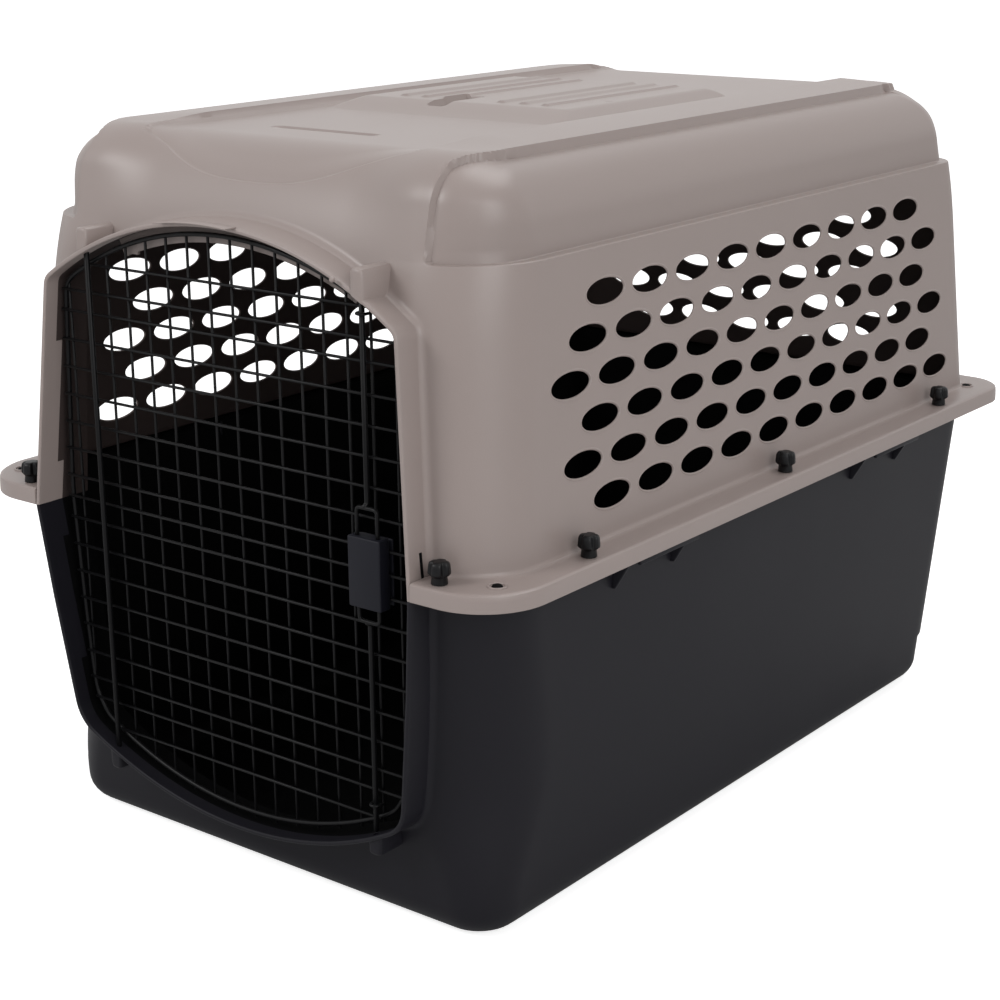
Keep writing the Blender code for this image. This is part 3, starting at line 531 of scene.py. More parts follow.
def finish_shell(name, node, mesh, thickness, outer, inner, body, slot):
    """Thicken a skin inwards, with painted shade on the inside: a much darker copy of the outer
    material.
    """
    ob = new_object(name, mesh, outer, weld=0.00002)
    wall = ob.modifiers.new("wall", "SOLIDIFY")
    wall.thickness = thickness
    wall.offset = -1.0
    # the inner material is painted shade for the inside faces
    ob.data.materials.append(inner)
    wall.material_offset = 1
    wall.material_offset_rim = 0
    apply_modifiers(ob)
    ob.data.shade_smooth()
    sharpen(ob, 31)
    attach(ob, body)
    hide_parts(node)


# ------------------------------------------------------------------ collar outlines
def outline_normals(points):
    """Outward normals of a path that runs right foot, top, left foot."""
    delta = np.gradient(points, axis=0)
    normals = np.stack([delta[:, 1], -delta[:, 0]], 1)
    return normals / np.linalg.norm(normals, axis=1)[:, None]


def corner_tangents(corner, side_direction, arc_direction, fillet, arc_radius):
    """Side's tangent point of a fillet, and the angle of its tangent point on the arc."""
    between = math.acos(np.clip(side_direction @ arc_direction, -1, 1))
    cut = fillet / math.tan(between / 2)
    return corner + side_direction * cut, math.asin(corner[0] / arc_radius) - cut / arc_radius


def upper_outline(side_count, arch_count, foot_z):
    """From the right foot over the arch to the left foot: points in X, Z."""
    def side_x(z):
        return COLLAR_HALF_X + (206.0 - COLLAR_HALF_X) * (z - JOINT_Z) / (520.0 - JOINT_Z)

    z = 520.0
    for _ in range(30):         # find the corner where the side meets the arch
        z = ARCH_CENTRE_Z + math.sqrt(ARCH_RADIUS ** 2 - side_x(z) ** 2)
    corner = np.array([side_x(z), z])
    down_side = np.array([side_x(z - 1) - side_x(z), -1.0])
    down_side /= np.linalg.norm(down_side)
    rise = math.sqrt(ARCH_RADIUS ** 2 - corner[0] ** 2)
    up_arch = np.array([-rise, corner[0]]) / ARCH_RADIUS
    start, angle = corner_tangents(corner, down_side, up_arch, 15.0, ARCH_RADIUS)

    def on_arch(theta):
        return np.array([ARCH_RADIUS * math.sin(theta),
                         ARCH_CENTRE_Z + ARCH_RADIUS * math.cos(theta)])

    turn = np.array([bezier(start, corner, on_arch(angle), k / 24) for k in range(25)])
    arc = [on_arch(angle * (1 - 2 * k / 400)) for k in range(1, 400)]
    top = resample(np.concatenate([turn, arc, turn[::-1] * [-1, 1]]), arch_count)
    heights = np.linspace(foot_z, start[1], side_count + 1)[:-1]
    right = np.stack([side_x(heights), heights], 1)
    return np.concatenate([right, top, right[::-1] * [-1, 1]])


# Right side of the lower collar: half width, height
LOWER_SIDE = np.array([(205.0, 146.0), (208.6, 175.0), (215.6, 230.0), (COLLAR_HALF_X, JOINT_Z)])
LOWER_SLANT = 0.13                  # narrowing per height below the table


def lower_outline(side_count, sill_count, foot_z):
    """From the right foot down round the sill to the left foot: points in X, Z."""
    low_x, low_z = LOWER_SIDE[0]
    heights = np.linspace(foot_z, 128.0, 120)
    side_x = np.where(heights < low_z, low_x - (low_z - heights) * LOWER_SLANT,
                      np.interp(heights, LOWER_SIDE[:, 1], LOWER_SIDE[:, 0]))
    right = np.stack([side_x, heights], 1)
    x = 203.0
    for _ in range(30):         # find the corner where the side meets the sill
        z = SILL_CENTRE_Z - math.sqrt(SILL_RADIUS ** 2 - x * x)
        x = low_x - (low_z - z) * LOWER_SLANT
    corner = np.array([x, z])
    up_side = np.array([LOWER_SLANT, 1.0])
    up_side /= np.linalg.norm(up_side)
    along_sill = np.array([-math.sqrt(SILL_RADIUS ** 2 - x * x), -x]) / SILL_RADIUS
    start, angle = corner_tangents(corner, up_side, along_sill, 40.0, SILL_RADIUS)

    def on_sill(theta):
        return np.array([SILL_RADIUS * math.sin(theta),
                         SILL_CENTRE_Z - SILL_RADIUS * math.cos(theta)])

    turn = np.array([bezier(start, corner, on_sill(angle), t) for t in np.linspace(0, 1, 40)])
    arc = [on_sill(theta) for theta in np.linspace(angle, -angle, 300)[1:-1]]
    sill = resample(np.concatenate([turn, arc, turn[::-1] * [-1, 1]]), sill_count)
    right = np.concatenate([right[right[:, 1] > start[1] + 0.5], [start]])
    right = resample(right, side_count)[:-1]
    return np.concatenate([right, sill, right[::-1] * [-1, 1]])


# ------------------------------------------------------------------ upper shell: profiles
WALL_FOOT, SHOULDER, TOP = 332.0, 583.0, 655.0
CORNER_BREAK = 575.0                # height where the rear and corner profile starts to lean


def round_off(z, start, depth, power):
    """Inward curve of a profile, from 0 at the start height to depth at the top."""
    share = np.clip((z - start) / (TOP - start), 0, 1)
    return depth * (1 - (1 - share ** power) ** (1.0 / power))


def front_curve(z):
    return 424.0 - 0.0694 * (z - WALL_FOOT) - round_off(z, start=505.0, depth=79.6, power=2.3)


def side_curve(z):
    return 281.5 - 0.071 * (z - WALL_FOOT) - round_off(z, start=600.0, depth=44.6, power=2.0)


def corner_curve(z):
    """Profile of the rear wall and of the front wall near its corners: tightly rounded."""
    lean = 0.25 * (z - CORNER_BREAK) + round_off(z, start=620.0, depth=38.0, power=2.0)
    return np.where(z <= CORNER_BREAK, front_curve(np.minimum(z, CORNER_BREAK)),
                    front_curve(CORNER_BREAK) - lean)


def arc_table(curve):
    """Arclength, offset and height of a profile above the shoulder, finest towards the top."""
    t = np.linspace(0, 1, 1500)
    z = SHOULDER + (TOP - SHOULDER) * (1 - (1 - t) ** 2.4)
    offset = curve(z)
    length = np.concatenate([[0], np.cumsum(np.hypot(np.diff(offset), np.diff(z)))])
    return length, offset, z


FRONT_ARC, SIDE_ARC, CORNER_ARC = (arc_table(c) for c in (front_curve, side_curve, corner_curve))
FRONT_LENGTH, SIDE_LENGTH, CORNER_LENGTH = (a[0][-1] for a in (FRONT_ARC, SIDE_ARC, CORNER_ARC))


def along_arc(table, t):
    length, offset, z = table
    return np.interp(t * length[-1], length, offset), np.interp(t * length[-1], length, z)


def profile(label, rear=False, cornerness=1.0):
    """Half x, side height, half y, front height, corner radius and flat scale of a loop.

    A label is the height up to the shoulder, and above it runs evenly along each profile.
    cornerness is 1 at the corners and 0 in the middle of the front."""
    label = np.asarray(label, float)
    if rear:
        cornerness = 1.0
    t = np.clip((label - SHOULDER) / (TOP - SHOULDER), 0, 1)
    below = label <= SHOULDER
    low = np.minimum(label, SHOULDER)
    (side_x, side_z), (front_y, front_z), (corner_y, corner_z) = (
        along_arc(table, t) for table in (SIDE_ARC, FRONT_ARC, CORNER_ARC))
    half_x = np.where(below, side_curve(low), side_x)
    half_y = np.where(below, lerp(front_curve(low), corner_curve(low), cornerness),
                      lerp(front_y, corner_y, cornerness))
    side_height = np.where(below, label, side_z)
    front_height = np.where(below, label, lerp(front_z, corner_z, cornerness))
    # corner radius at the wall's foot, at the shoulder and at the top
    foot, middle, top = (39.0, 38.0, 35.0) if rear else (62.0, 76.0, 32.0)
    rise = (label - WALL_FOOT) / (SHOULDER - WALL_FOOT)
    radius = np.where(below, foot + (middle - foot) * rise, middle + (top - middle) * t)
    return half_x, side_height, half_y, front_height, radius, 1.0 - 0.15 * t


def label_of_front_z(z):
    """Label above the shoulder whose height in the middle of the front is z."""
    labels = np.linspace(SHOULDER, TOP, 800)
    return np.interp(z, profile(labels, cornerness=0.0)[3], labels)


def front_point(x, label, side=-1):
    """Point of the front (side -1) or rear wall at developed coordinate x."""
    cornerness = smooth((np.abs(x) - 110.0) / 75.0)
    half_x, side_z, half_y, front_z, radius, _ = profile(label, side > 0, cornerness)
    place, across, turn = round_corner(x, half_x, half_y, radius)
    z = lerp(front_z, side_z, smooth(turn / HALF_PI))
    return np.stack([place, side * across, z + 0 * place], -1)


def side_point(y, label, side, rear):
    half_x, side_z, half_y, front_z, radius, _ = profile(label, rear)
    place, across, turn = round_corner(y, half_y, half_x, radius)
    z = lerp(side_z, front_z, smooth(turn / HALF_PI))
    return np.stack([side * across, place, z + 0 * place], -1)


# ------------------------------------------------------------------ upper shell: grid
# Each vent takes a cell of 24 columns by 12 rows
CELL_COLUMNS, CELL_ROWS = 24, 12
HALF_COLUMNS, HALF_ROWS = CELL_COLUMNS // 2, CELL_ROWS // 2
COLUMN_STEP = 65.4 / CELL_COLUMNS
ROW_STEP = 33.85 / CELL_ROWS
VENT_ROWS = 6
FRONT_HALF = 75                     # front columns each side of the centre
FRONT_CORNER, SIDE_CORNER = 20, 18  # columns in half a corner
SIDE_FIRST, SIDE_LAST = -36, 232    # side columns, counted from the first vent's station
SIDE_Y = -248.0 + COLUMN_STEP * np.arange(SIDE_FIRST, SIDE_LAST + 1)
FRONT_X = COLUMN_STEP * np.arange(-FRONT_HALF, FRONT_HALF + 1)
for k, x in ((73, 198.3), (74, 200.4), (75, 202.6)):    # closer at the pocket's front edge
    FRONT_X[FRONT_HALF + k], FRONT_X[FRONT_HALF - k] = x, -x

WALL_BASE = 336.2
VENT_BASE = 350.825
END_ROWS = np.array([3.6, 2.5, 1.6, 0.8, 0.0])          # distances below the top
ROWS = np.concatenate([
    [WALL_BASE, 341.0, 346.0, 350.8],
    [VENT_BASE + ROW_STEP * k for k in range(1, VENT_ROWS * CELL_ROWS + 1)],
    [557.5, 561.0, 564.5],
    [568.0, 571.0, 572.8, 573.7, 574.4, 575.0, 575.6, 576.3, 577.2, 583.0],
    SHOULDER + (TOP - SHOULDER) * np.concatenate([
        np.linspace(0, 1, 40)[1:] * (1 - 5.0 / (TOP - SHOULDER)),
        1 - END_ROWS / (TOP - SHOULDER)])])
ROW_COUNT = len(ROWS)
VENT_TOP_ROW = 3 + VENT_ROWS * CELL_ROWS
PATCH_ROW = VENT_TOP_ROW + 4        # top of the front patch
PANEL_ROW = PATCH_ROW + 26          # follows the sunken panel's lower edge

# Sunken panel's lower edge on the front: x from its middle, arclength above the shoulder
PANEL_EDGE = np.array([(0, 40.8), (30, 41.9), (55, 45.6), (77, 51), (90, 56.6), (110, 66.5),
                       (127, 76.5), (144, 87), (156, 97.0)])
PANEL_FIT = np.polyfit(PANEL_EDGE[:, 0] ** 2, PANEL_EDGE[:, 1], 4)


def panel_edge(x):
    return np.polyval(PANEL_FIT, np.minimum(np.abs(x + 4.0), 158.0) ** 2)


PATCH_LABEL = float(label_of_front_z(606.0))            # patch's top in the middle of the front
PATCH_ARC = float(np.interp(PATCH_LABEL, [SHOULDER, TOP], [0, FRONT_LENGTH]))


def column_labels(x):
    """Labels of all rows at front or rear coordinate x; inner columns follow the panel's edge."""
    row = np.arange(ROW_COUNT)
    inner = ROWS.copy()
    lift = (row > VENT_TOP_ROW) & (row <= PATCH_ROW)
    base = ROWS[VENT_TOP_ROW]
    inner[lift] = base + (PATCH_LABEL - base) * (row[lift] - VENT_TOP_ROW) / (
        PATCH_ROW - VENT_TOP_ROW)
    edge = min(float(panel_edge(x)), FRONT_LENGTH - 5.0)
    t = np.clip((row - PATCH_ROW) / (PANEL_ROW - PATCH_ROW), 0, 1)
    below = PATCH_ARC + (edge - PATCH_ARC) * (1 - (1 - t) ** 1.35)
    t = np.clip((row - PANEL_ROW) / (ROW_COUNT - 1 - PANEL_ROW), 0, 1)
    above = edge + (FRONT_LENGTH - edge) * t ** 1.35
    arc = np.where(row <= PANEL_ROW, below, above)
    labels = SHOULDER + (TOP - SHOULDER) * arc / FRONT_LENGTH
    inner = np.where(row > PATCH_ROW, labels, inner)
    centred = float(smooth((186.0 - abs(x)) / 46.0))
    return np.where(row <= VENT_TOP_ROW, ROWS, lerp(ROWS, inner, centred))


# ------------------------------------------------------------------ upper shell: recesses
LEDGE = 575.0                       # label of the side pockets' lower edge
POCKET_DEPTH_FRONT, POCKET_DEPTH_SIDE = 5.6, 8.6
# front edge: label, developed x; top edge: developed x, label
POCKET_FRONT = np.array([(565.0, 203.0), (575.0, 203.0), (600.0, 202.0), (640.0, 200.5)])
POCKET_TOP = np.array([(196.0, 636.0), (201.0, 641.5), (207.0, 645.5), (217.0, 650.0),
                       (232.0, 653.8), (250.0, 654.5)])
PANEL_HALF_X = 156.7
PANEL_STEP = 1.9
FAR_ROUND = 400.0                   # developed coordinate that stands for the flat sides


def panel_slope(inside):
    """Depth of the panel's gently sloping long edges."""
    return 2.0 * np.clip((inside + 0.5) / 8.5, 0, 1)


def recess(developed, label):
    """Inward displacement; the developed coordinate grows round the corner onto the sides."""
    distance = np.abs(developed)
    on_side = smooth((distance - 206.0) / 34.0)
    scale = lerp(CORNER_LENGTH, SIDE_LENGTH, on_side) / (TOP - SHOULDER)
    from_top = (np.interp(distance, POCKET_TOP[:, 0], POCKET_TOP[:, 1]) - label) * scale
    from_front = distance - np.interp(label, POCKET_FRONT[:, 0], POCKET_FRONT[:, 1])
    inside = np.minimum(rounded_min(from_top, from_front, 10.0),
                        rounded_min(label - LEDGE, from_front, 5.0))
    width = lerp(2.6, 1.9, on_side)
    pocket = lerp(POCKET_DEPTH_FRONT, POCKET_DEPTH_SIDE, on_side) * smooth(
        (inside + width * 0.5) / width)
    # sunken panel: a thin curved step across the front, sloping edges along the rails
    arc = (label - SHOULDER) / (TOP - SHOULDER) * FRONT_LENGTH
    from_edge = (arc - panel_edge(developed)) * 0.84
    from_rail = PANEL_HALF_X - distance
    inside = rounded_min(from_edge, from_rail + 1.0, 12.0)
    step = PANEL_STEP * smooth((inside + 1.2) / 2.4)
    slope = panel_slope(from_rail) * smooth((from_edge - 2.0) / 22.0)
    return pocket + np.where(distance > 175.0, 0.0, step + slope)


# ------------------------------------------------------------------ upper shell: wall
columns, upper_ends = loop_columns(FRONT_X, SIDE_Y, FRONT_CORNER, SIDE_CORNER)
FRONT_END, RIGHT_END, REAR_END, COLUMN_COUNT = upper_ends


def wall_column(column):
    """Undisplaced points, displacement, labels and developed coordinate down a column."""
    flat_front = column.axis == "x" and not column.end
    labels = column_labels(column.value) if flat_front else ROWS
    rear = is_rear(column)
    half_x, _, half_y, _, radius, scale = profile(labels, rear)
    if column.axis == "x":
        along = column_along(column, half_x, radius) + 0 * labels
        return front_point(along, labels, column.side), recess(along, labels), labels, along
    along = column_along(column, half_y, radius, scale)
    developed = np.full(ROW_COUNT, FAR_ROUND)
    if column.end:
        developed = corner_middle(half_x, radius) + (corner_middle(half_y, radius)
                                                     - np.abs(along))
    points = side_point(along, labels, column.side, rear)
    return points, recess(developed, labels), labels, along


base_points, depth, labels, wall_along = (
    np.stack(part, 1) for part in zip(*(wall_column(column) for column in columns)))
normals = np.cross(np.roll(base_points, -1, 1) - np.roll(base_points, 1, 1),
                   np.gradient(base_points, axis=0))
lengths = np.linalg.norm(normals, axis=2)
lengths[lengths < 1e-9] = 1
normals = normals / lengths[:, :, None]
wall_points = base_points - normals * depth[:, :, None]

# Vents per side row, from the top, and the first one's shift in columns
SIDE_VENTS = (9, 10, 10, 10, 10, 10)
RIGHT_SHIFT = (0, -10, -20, -6, -16, -2)
LEFT_SHIFT = (2, -12, -1, -15, -5, -19)
REAR_VENTS = (6, 5, 6, 5, 6, 5)


def vent_cells():
    """First row and centre column of every vent's cell."""
    cells = []
    right_first = FRONT_END + SIDE_CORNER - 1
    left_last = REAR_END + SIDE_CORNER - 1 + len(SIDE_Y) - 1
    rear_centre = RIGHT_END + FRONT_CORNER - 1 + FRONT_HALF
    for row in range(VENT_ROWS):
        first_row = VENT_TOP_ROW - CELL_ROWS * (row + 1)
        for k in range(SIDE_VENTS[row]):
            station = CELL_COLUMNS * k - SIDE_FIRST
            cells.append((first_row, right_first + station + RIGHT_SHIFT[row]))
            cells.append((first_row, left_last - station - LEFT_SHIFT[row]))
    for row, count in enumerate(REAR_VENTS):
        first_row = VENT_TOP_ROW - CELL_ROWS * (row + 1)
        for k in range(count):
            cells.append((first_row, rear_centre + (2 * k - count + 1) * HALF_COLUMNS))
    return cells


vents = vent_cells()
keep = np.ones((ROW_COUNT - 1, COLUMN_COUNT), bool)
keep[:PATCH_ROW, :FRONT_END - 1] = False                # the front patch is filled separately
for row, centre in vents:
    keep[row:row + CELL_ROWS, centre - HALF_COLUMNS:centre + HALF_COLUMNS] = False
used = used_corners(keep)
for row, centre in vents:
    left, right = centre - HALF_COLUMNS, centre + HALF_COLUMNS
    used[[row, row + CELL_ROWS], left:right + 1] = True
    used[row:row + CELL_ROWS + 1, [left, right]] = True
used[:PATCH_ROW + 1, [0, FRONT_END - 1]] = True
upper = Builder()
wall_index = np.full((ROW_COUNT, COLUMN_COUNT), -1)
wall_index[used] = upper.add(wall_points[used])
upper.grid(wall_index, keep)

# Vent: rings from the cell's edge to the rounded lip of an elliptical hole
VENT_HALF_WIDTH, VENT_HALF_HEIGHT = 26.2, 10.4
VENT_LIP = ((2.4, 0.0), (1.8, -0.4), (0.9, -0.45), (0.25, 0.1), (0.0, 0.9))   # growth, depth
cell_u = np.concatenate([np.arange(CELL_COLUMNS), np.full(CELL_ROWS, CELL_COLUMNS),
                         np.arange(CELL_COLUMNS, 0, -1), np.full(CELL_ROWS, 0)])
cell_v = np.concatenate([np.full(CELL_COLUMNS, 0), np.arange(CELL_ROWS),
                         np.full(CELL_COLUMNS, CELL_ROWS), np.arange(CELL_ROWS, 0, -1)])
edge_angle = np.unwrap(np.arctan2((cell_v - HALF_ROWS) * ROW_STEP / VENT_HALF_HEIGHT,
                                  (cell_u - HALF_COLUMNS) * COLUMN_STEP / VENT_HALF_WIDTH))
# partly evened out, so that the ellipse is sampled regularly
even_angle = edge_angle[0] + 2 * math.pi * np.arange(len(cell_u)) / len(cell_u)
vent_angle = 0.45 * edge_angle + 0.55 * even_angle


def vent_ellipse(growth):
    """The grown ellipse in columns and rows from the cell's corner."""
    return (HALF_COLUMNS + (VENT_HALF_WIDTH + growth) * np.cos(vent_angle) / COLUMN_STEP,
            HALF_ROWS + (VENT_HALF_HEIGHT + growth) * np.sin(vent_angle) / ROW_STEP)


outer_u, outer_v = vent_ellipse(VENT_LIP[0][0])
vent_rings = [(lerp(cell_u, outer_u, 0.5), lerp(cell_v, outer_v, 0.5), 0.0)]
vent_rings += [(*vent_ellipse(growth), sink) for growth, sink in VENT_LIP]


def cell_surface(row, centre, u, v):
    """Positions and normals in a cell; u in columns and v in rows from its corner."""
    whole_u = np.clip(np.floor(u).astype(int), 0, CELL_COLUMNS - 1)
    whole_v = np.clip(np.floor(v).astype(int), 0, CELL_ROWS - 1)
    part_u, part_v = (u - whole_u)[:, None], (v - whole_v)[:, None]
    i, j = centre - HALF_COLUMNS + whole_u, row + whole_v
    points = (wall_points[j, i] * (1 - part_u) * (1 - part_v)
              + wall_points[j, i + 1] * part_u * (1 - part_v)
              + wall_points[j + 1, i] * (1 - part_u) * part_v
              + wall_points[j + 1, i + 1] * part_u * part_v)
    outward = normals[j, i] * (1 - part_u) + normals[j, i + 1] * part_u
    return points, outward / np.linalg.norm(outward, axis=1)[:, None]


for row, centre in vents:
    previous = wall_index[row + cell_v, centre - HALF_COLUMNS + cell_u]
    for u, v, sink in vent_rings:
        points, outward = cell_surface(row, centre, u, v)
        ring = upper.add(points - outward * sink)
        upper.quads(previous, ring, closed=True)
        previous = ring


# Front patch round the arch
def front_surface(x, label):
    """Displaced point of the front wall."""
    nudge = 0.4
    across = front_point(x + nudge, label) - front_point(x - nudge, label)
    upward = front_point(x, label + nudge) - front_point(x, label - nudge)
    outward = np.cross(across, upward)
    outward /= np.linalg.norm(outward, axis=-1)[..., None]
    return front_point(x, label) - outward * recess(x, label)[..., None]


def front_label(z):
    return np.where(z <= SHOULDER, z, label_of_front_z(z))


arch = upper_outline(PATCH_ROW, FRONT_END - 1, WALL_BASE)
edge = opening_boundary(PATCH_ROW, FRONT_END)
right_foot, left_foot = front_opening(
    upper, wall_index[edge], wall_along[edge], labels[edge], arch, outline_normals(arch),
    front_surface, front_label, steps=FRONT_CORNER, flip=False)

# Flange of the upper shell, from the wall outwards and down the lip: offset, height
UPPER_FLANGE = (
    (0.35, 334.4), (1.3, 332.9), (3.2, 332.1), (6.0, 332.0), (13.0, 332.0), (21.0, 332.0),
    (27.0, 332.0), (28.7, 331.6), (29.9, 330.6), (30.3, 329.2), (30.5, 326.0), (30.6, 321.0),
    (30.6, 316.9), (30.3, 316.5))
UPPER_REACH = 30.6
UPPER_LIP = {False: (312.0, 451.0, 60.0), True: (312.0, 451.0, 42.0)}
upper_root = {}
for rear in (False, True):
    half_x, _, half_y, _, radius, _ = (float(v) for v in profile(WALL_BASE, rear))
    upper_root[rear] = (half_x, half_y, radius)
around = list(range(FRONT_END - 1, COLUMN_COUNT)) + [0]     # right 45, round the back, left 45
flange_rings = add_flange(upper, [columns[i] for i in around], wall_index[0, around],
                          UPPER_FLANGE, upper_root, UPPER_LIP, flip=False)

# Front corners of the flange, between the 45 degree column and the collar
corner_root = (FLANGE_ROOT_X,) + upper_root[False][1:]
for side, foot, end in ((1, right_foot, 0), (-1, left_foot, -1)):
    previous = np.array(foot)
    steps = np.arange(1, len(foot))
    share = np.minimum(steps / FRONT_CORNER, 1.0) ** 0.9
    for (offset, z), flange_ring in zip(UPPER_FLANGE, flange_rings):
        half_x, half_y, radius = flange_sizes(corner_root, UPPER_LIP[False],
                                              offset / UPPER_REACH)
        developed = lerp(corner_middle(half_x, radius), 223.6, share)
        x, y, _ = round_corner(developed, half_x, half_y, radius)
        if offset > 20:         # keep the last columns forward, under the collar's fillet
            y = np.where(steps > FRONT_CORNER, np.maximum(y, 443.0), y)
        added = upper.add(np.stack([side * x, -y, np.full(len(x), z)], 1))
        ring = np.concatenate([[flange_ring[end]], added])
        if side > 0:
            upper.quads(previous, ring)
        else:
            upper.quads(ring, previous)
        previous = ring

# ------------------------------------------------------------------ roof
RIDGES_X = (-84.0, -59.0, -34.0, 33.0, 59.0, 84.0)
ROOF_DOTS = ((-26.0, 147.0), (111.0, -22.0))


def roof_height(x, y):
    """Height of the roof above the rails' level."""
    inside = PANEL_HALF_X - np.abs(x)
    z = -PANEL_STEP * smooth((inside + 2.2) / 2.4) - panel_slope(inside)
    # each rail is crowned: highest beside the panel, falling outwards
    outward = np.clip((-inside - 2.2) / 54.0, 0, 1)
    ends = smooth((y + 338.0) / 70.0) * smooth((350.0 - y) / 26.0)
    z = z + 3.4 * (1 - outward ** 1.3) * smooth((0.6 - inside) / 2.4) * ends
    # plateau with straight sloped sides, slightly softened
    rise = rounded_min(np.minimum((y + 137.0) / 37.0, (150.0 - y) / 18.0),
                       (140.0 - np.abs(x)) / 21.0, 0.45)
    plateau = 10.2 * lerp(np.clip(rise, 0, 1), smooth(rise), 0.18)
    # notch in its front slope, down to the panel
    notch = rounded_min(9.5 - np.abs(x + 22.5), 30.0 - np.abs(y + 82.0), 3.0)
    plateau = plateau * (1.0 - smooth((notch + 0.9) / 2.2))
    # long ridges with rounded ends on the plateau
    beyond = np.maximum(np.maximum(-82.0 - y, y - 128.0), 0.0)
    ridges = sum(1.9 * smooth((4.6 - np.hypot(x - ridge, beyond)) / 2.2) for ridge in RIDGES_X)
    z = z + plateau + ridges * smooth((rise - 0.9) / 0.2)
    # plain slot in front of the plateau
    slot = rounded_min(60.0 - np.abs(x + 12.0), 5.2 - np.abs(y + 276.0), 5.0)
    z = z - 4.2 * smooth((slot + 0.8) / 2.4)
    # small round dimples
    for dot_x, dot_y in ROOF_DOTS:
        z = z - 0.7 * smooth((4.0 - np.hypot(x - dot_x, y - dot_y)) / 2.0)
    return z


roof_edges = patch_edges(upper_ends)
roof = coons_patch(base_points[-1], roof_edges)
roof[..., 2] = TOP + roof_height(roof[..., 0], roof[..., 1])
add_patch(upper, roof, wall_index[-1], roof_edges)
finish_shell("upper_shell_skin", "upper_shell", upper, 0.0024, TAUPE, TAUPE_PAINTED_SHADE, **UPPER)


# ------------------------------------------------------------------ collars
def make_collar(name, outline, normals, material, shade_material, body, slot):
    """A closed band swept along an X, Z outline, 4 thick with a rounded front rim."""
    thick, rim = 4.0, 1.6
    section = [(0.0, 26.0), (0.0, 14.0), (0.0, 6.0), (0.0, rim)]      # inset, depth from front
    turns = [HALF_PI * k / 4 for k in range(1, 5)]
    section += [(rim * (1 - math.cos(a)), rim * (1 - math.sin(a))) for a in turns]
    section += [(thick - rim + rim * math.sin(a), rim * (1 - math.cos(a))) for a in turns]
    section += [(thick, 6.0), (thick, 14.0), (thick, 21.0), (thick, 28.0)]
    front_y = -450.6 + 0.06 * np.abs(outline[:, 1] - JOINT_Z)
    back_y = np.full(len(outline), COLLAR_BACK_Y)
    lines = [(0.0, back_y)] + [(inset, front_y + back) for inset, back in section]
    lines += [(thick, back_y)]
    mesh = Builder()
    rows = []
    for inset, y in lines:
        line = outline - normals * inset
        rows.append(mesh.add(np.stack([line[:, 0], y, line[:, 1]], 1)))
    for a, b in zip(rows, rows[1:] + rows[:1]):
        mesh.quads(a, b)
    mesh.faces.append(tuple(row[0] for row in rows))
    mesh.faces.append(tuple(row[-1] for row in reversed(rows)))
    ob = new_object(name, mesh, material, body, slot, 50)
    # the inner face behind the door gets painted shade, a much darker copy of the collar's material
    ob.data.materials.append(shade_material)
    for face in ob.data.polygons:
        centre = face.center / MM
        normal = face.normal
        inward = normal.x * centre.x + normal.z * (centre.z - 324.0) < 0
        if centre.y > -424.0 and inward and abs(normal.y) < 0.7:
            face.material_index = 1
    return ob


outline = upper_outline(50, 180, 316.8)
upper_collar = make_collar("upper_collar", outline, outline_normals(outline), TAUPE, TAUPE_PAINTED_SHADE,
                           **UPPER)

# ------------------------------------------------------------------ lower shell
LOWER_HALF_Y = 423.7
LOWER_TOP, BOTTOM_FILLET = 325.7, 26.0
LOWER_TAPER = 0.070
LOWER_FRONT_HALF, LOWER_SIDE_COUNT, LOWER_CORNER = 45, 70, 12
LOWER_FIXED_X, LOWER_FIXED_Y = 190.0, 330.0
LOWER_PATCH_LABEL = 43.0            # lower edge of the front patch
LOWER_ROWS = np.concatenate([
    [324.2, 320.5, 316.0, 311.0, 305.0, 297.0], np.arange(288.0, 60.0, -9.0),
    [56.0, 53.2, 52.3, 51.4, 50.5, 47.0, LOWER_PATCH_LABEL, 35.0, 26.0],
    BOTTOM_FILLET * (1 - np.linspace(0, 1, 9)[1:])])


def lower_profile(label, rear):
    """Half x, half y, corner radius and height of a loop.

    A label is the height above the bottom fillet, and runs down to 0 round it."""
    label = np.asarray(label, float)
    below_top = LOWER_TOP - np.maximum(label, BOTTOM_FILLET)
    turn = np.clip((BOTTOM_FILLET - label) / BOTTOM_FILLET, 0, 1.0) * HALF_PI
    inset = BOTTOM_FILLET * (1 - np.cos(turn))
    z = np.where(label >= BOTTOM_FILLET, label, BOTTOM_FILLET * (1 - np.sin(turn)))
    step = 0.0
    if rear:        # low band, set in from the wall above it
        step = 8.0 * smooth((53.0 - label) / 2.6)
        radius = 40.0 + 6.0 * below_top / 300.0 - inset * 0.7 - 0.5 * step
    else:
        tighten = smooth((150.0 - (LOWER_TOP - below_top)) / 130.0)
        radius = 62.0 + 22.0 * np.clip(below_top / 140.0, 0, 1) - 42.0 * tighten - inset * 0.9
    return (FLANGE_ROOT_X - LOWER_TAPER * below_top - inset,
            LOWER_HALF_Y - LOWER_TAPER * below_top - inset - step, radius, z)


def lower_front_point(x, label, side=-1):
    half_x, half_y, radius, z = lower_profile(label, side > 0)
    place, across, _ = round_corner(x, half_x, half_y, radius)
    return np.stack([place, side * across, z + 0 * place], -1)


def lower_wall_column(column):
    """Points and developed coordinate down a column."""
    rear = is_rear(column)
    half_x, half_y, radius, z = lower_profile(LOWER_ROWS, rear)
    scale = 1.0 - 0.08 * np.clip((BOTTOM_FILLET - LOWER_ROWS) / BOTTOM_FILLET, 0, 1)
    if column.axis == "x":
        along = column_along(column, half_x, radius, scale)
        return lower_front_point(along, LOWER_ROWS, column.side), along
    along = column_along(column, half_y, radius, scale)
    place, across, _ = round_corner(along, half_y, half_x, radius)
    return np.stack([column.side * across, place, z], -1), along


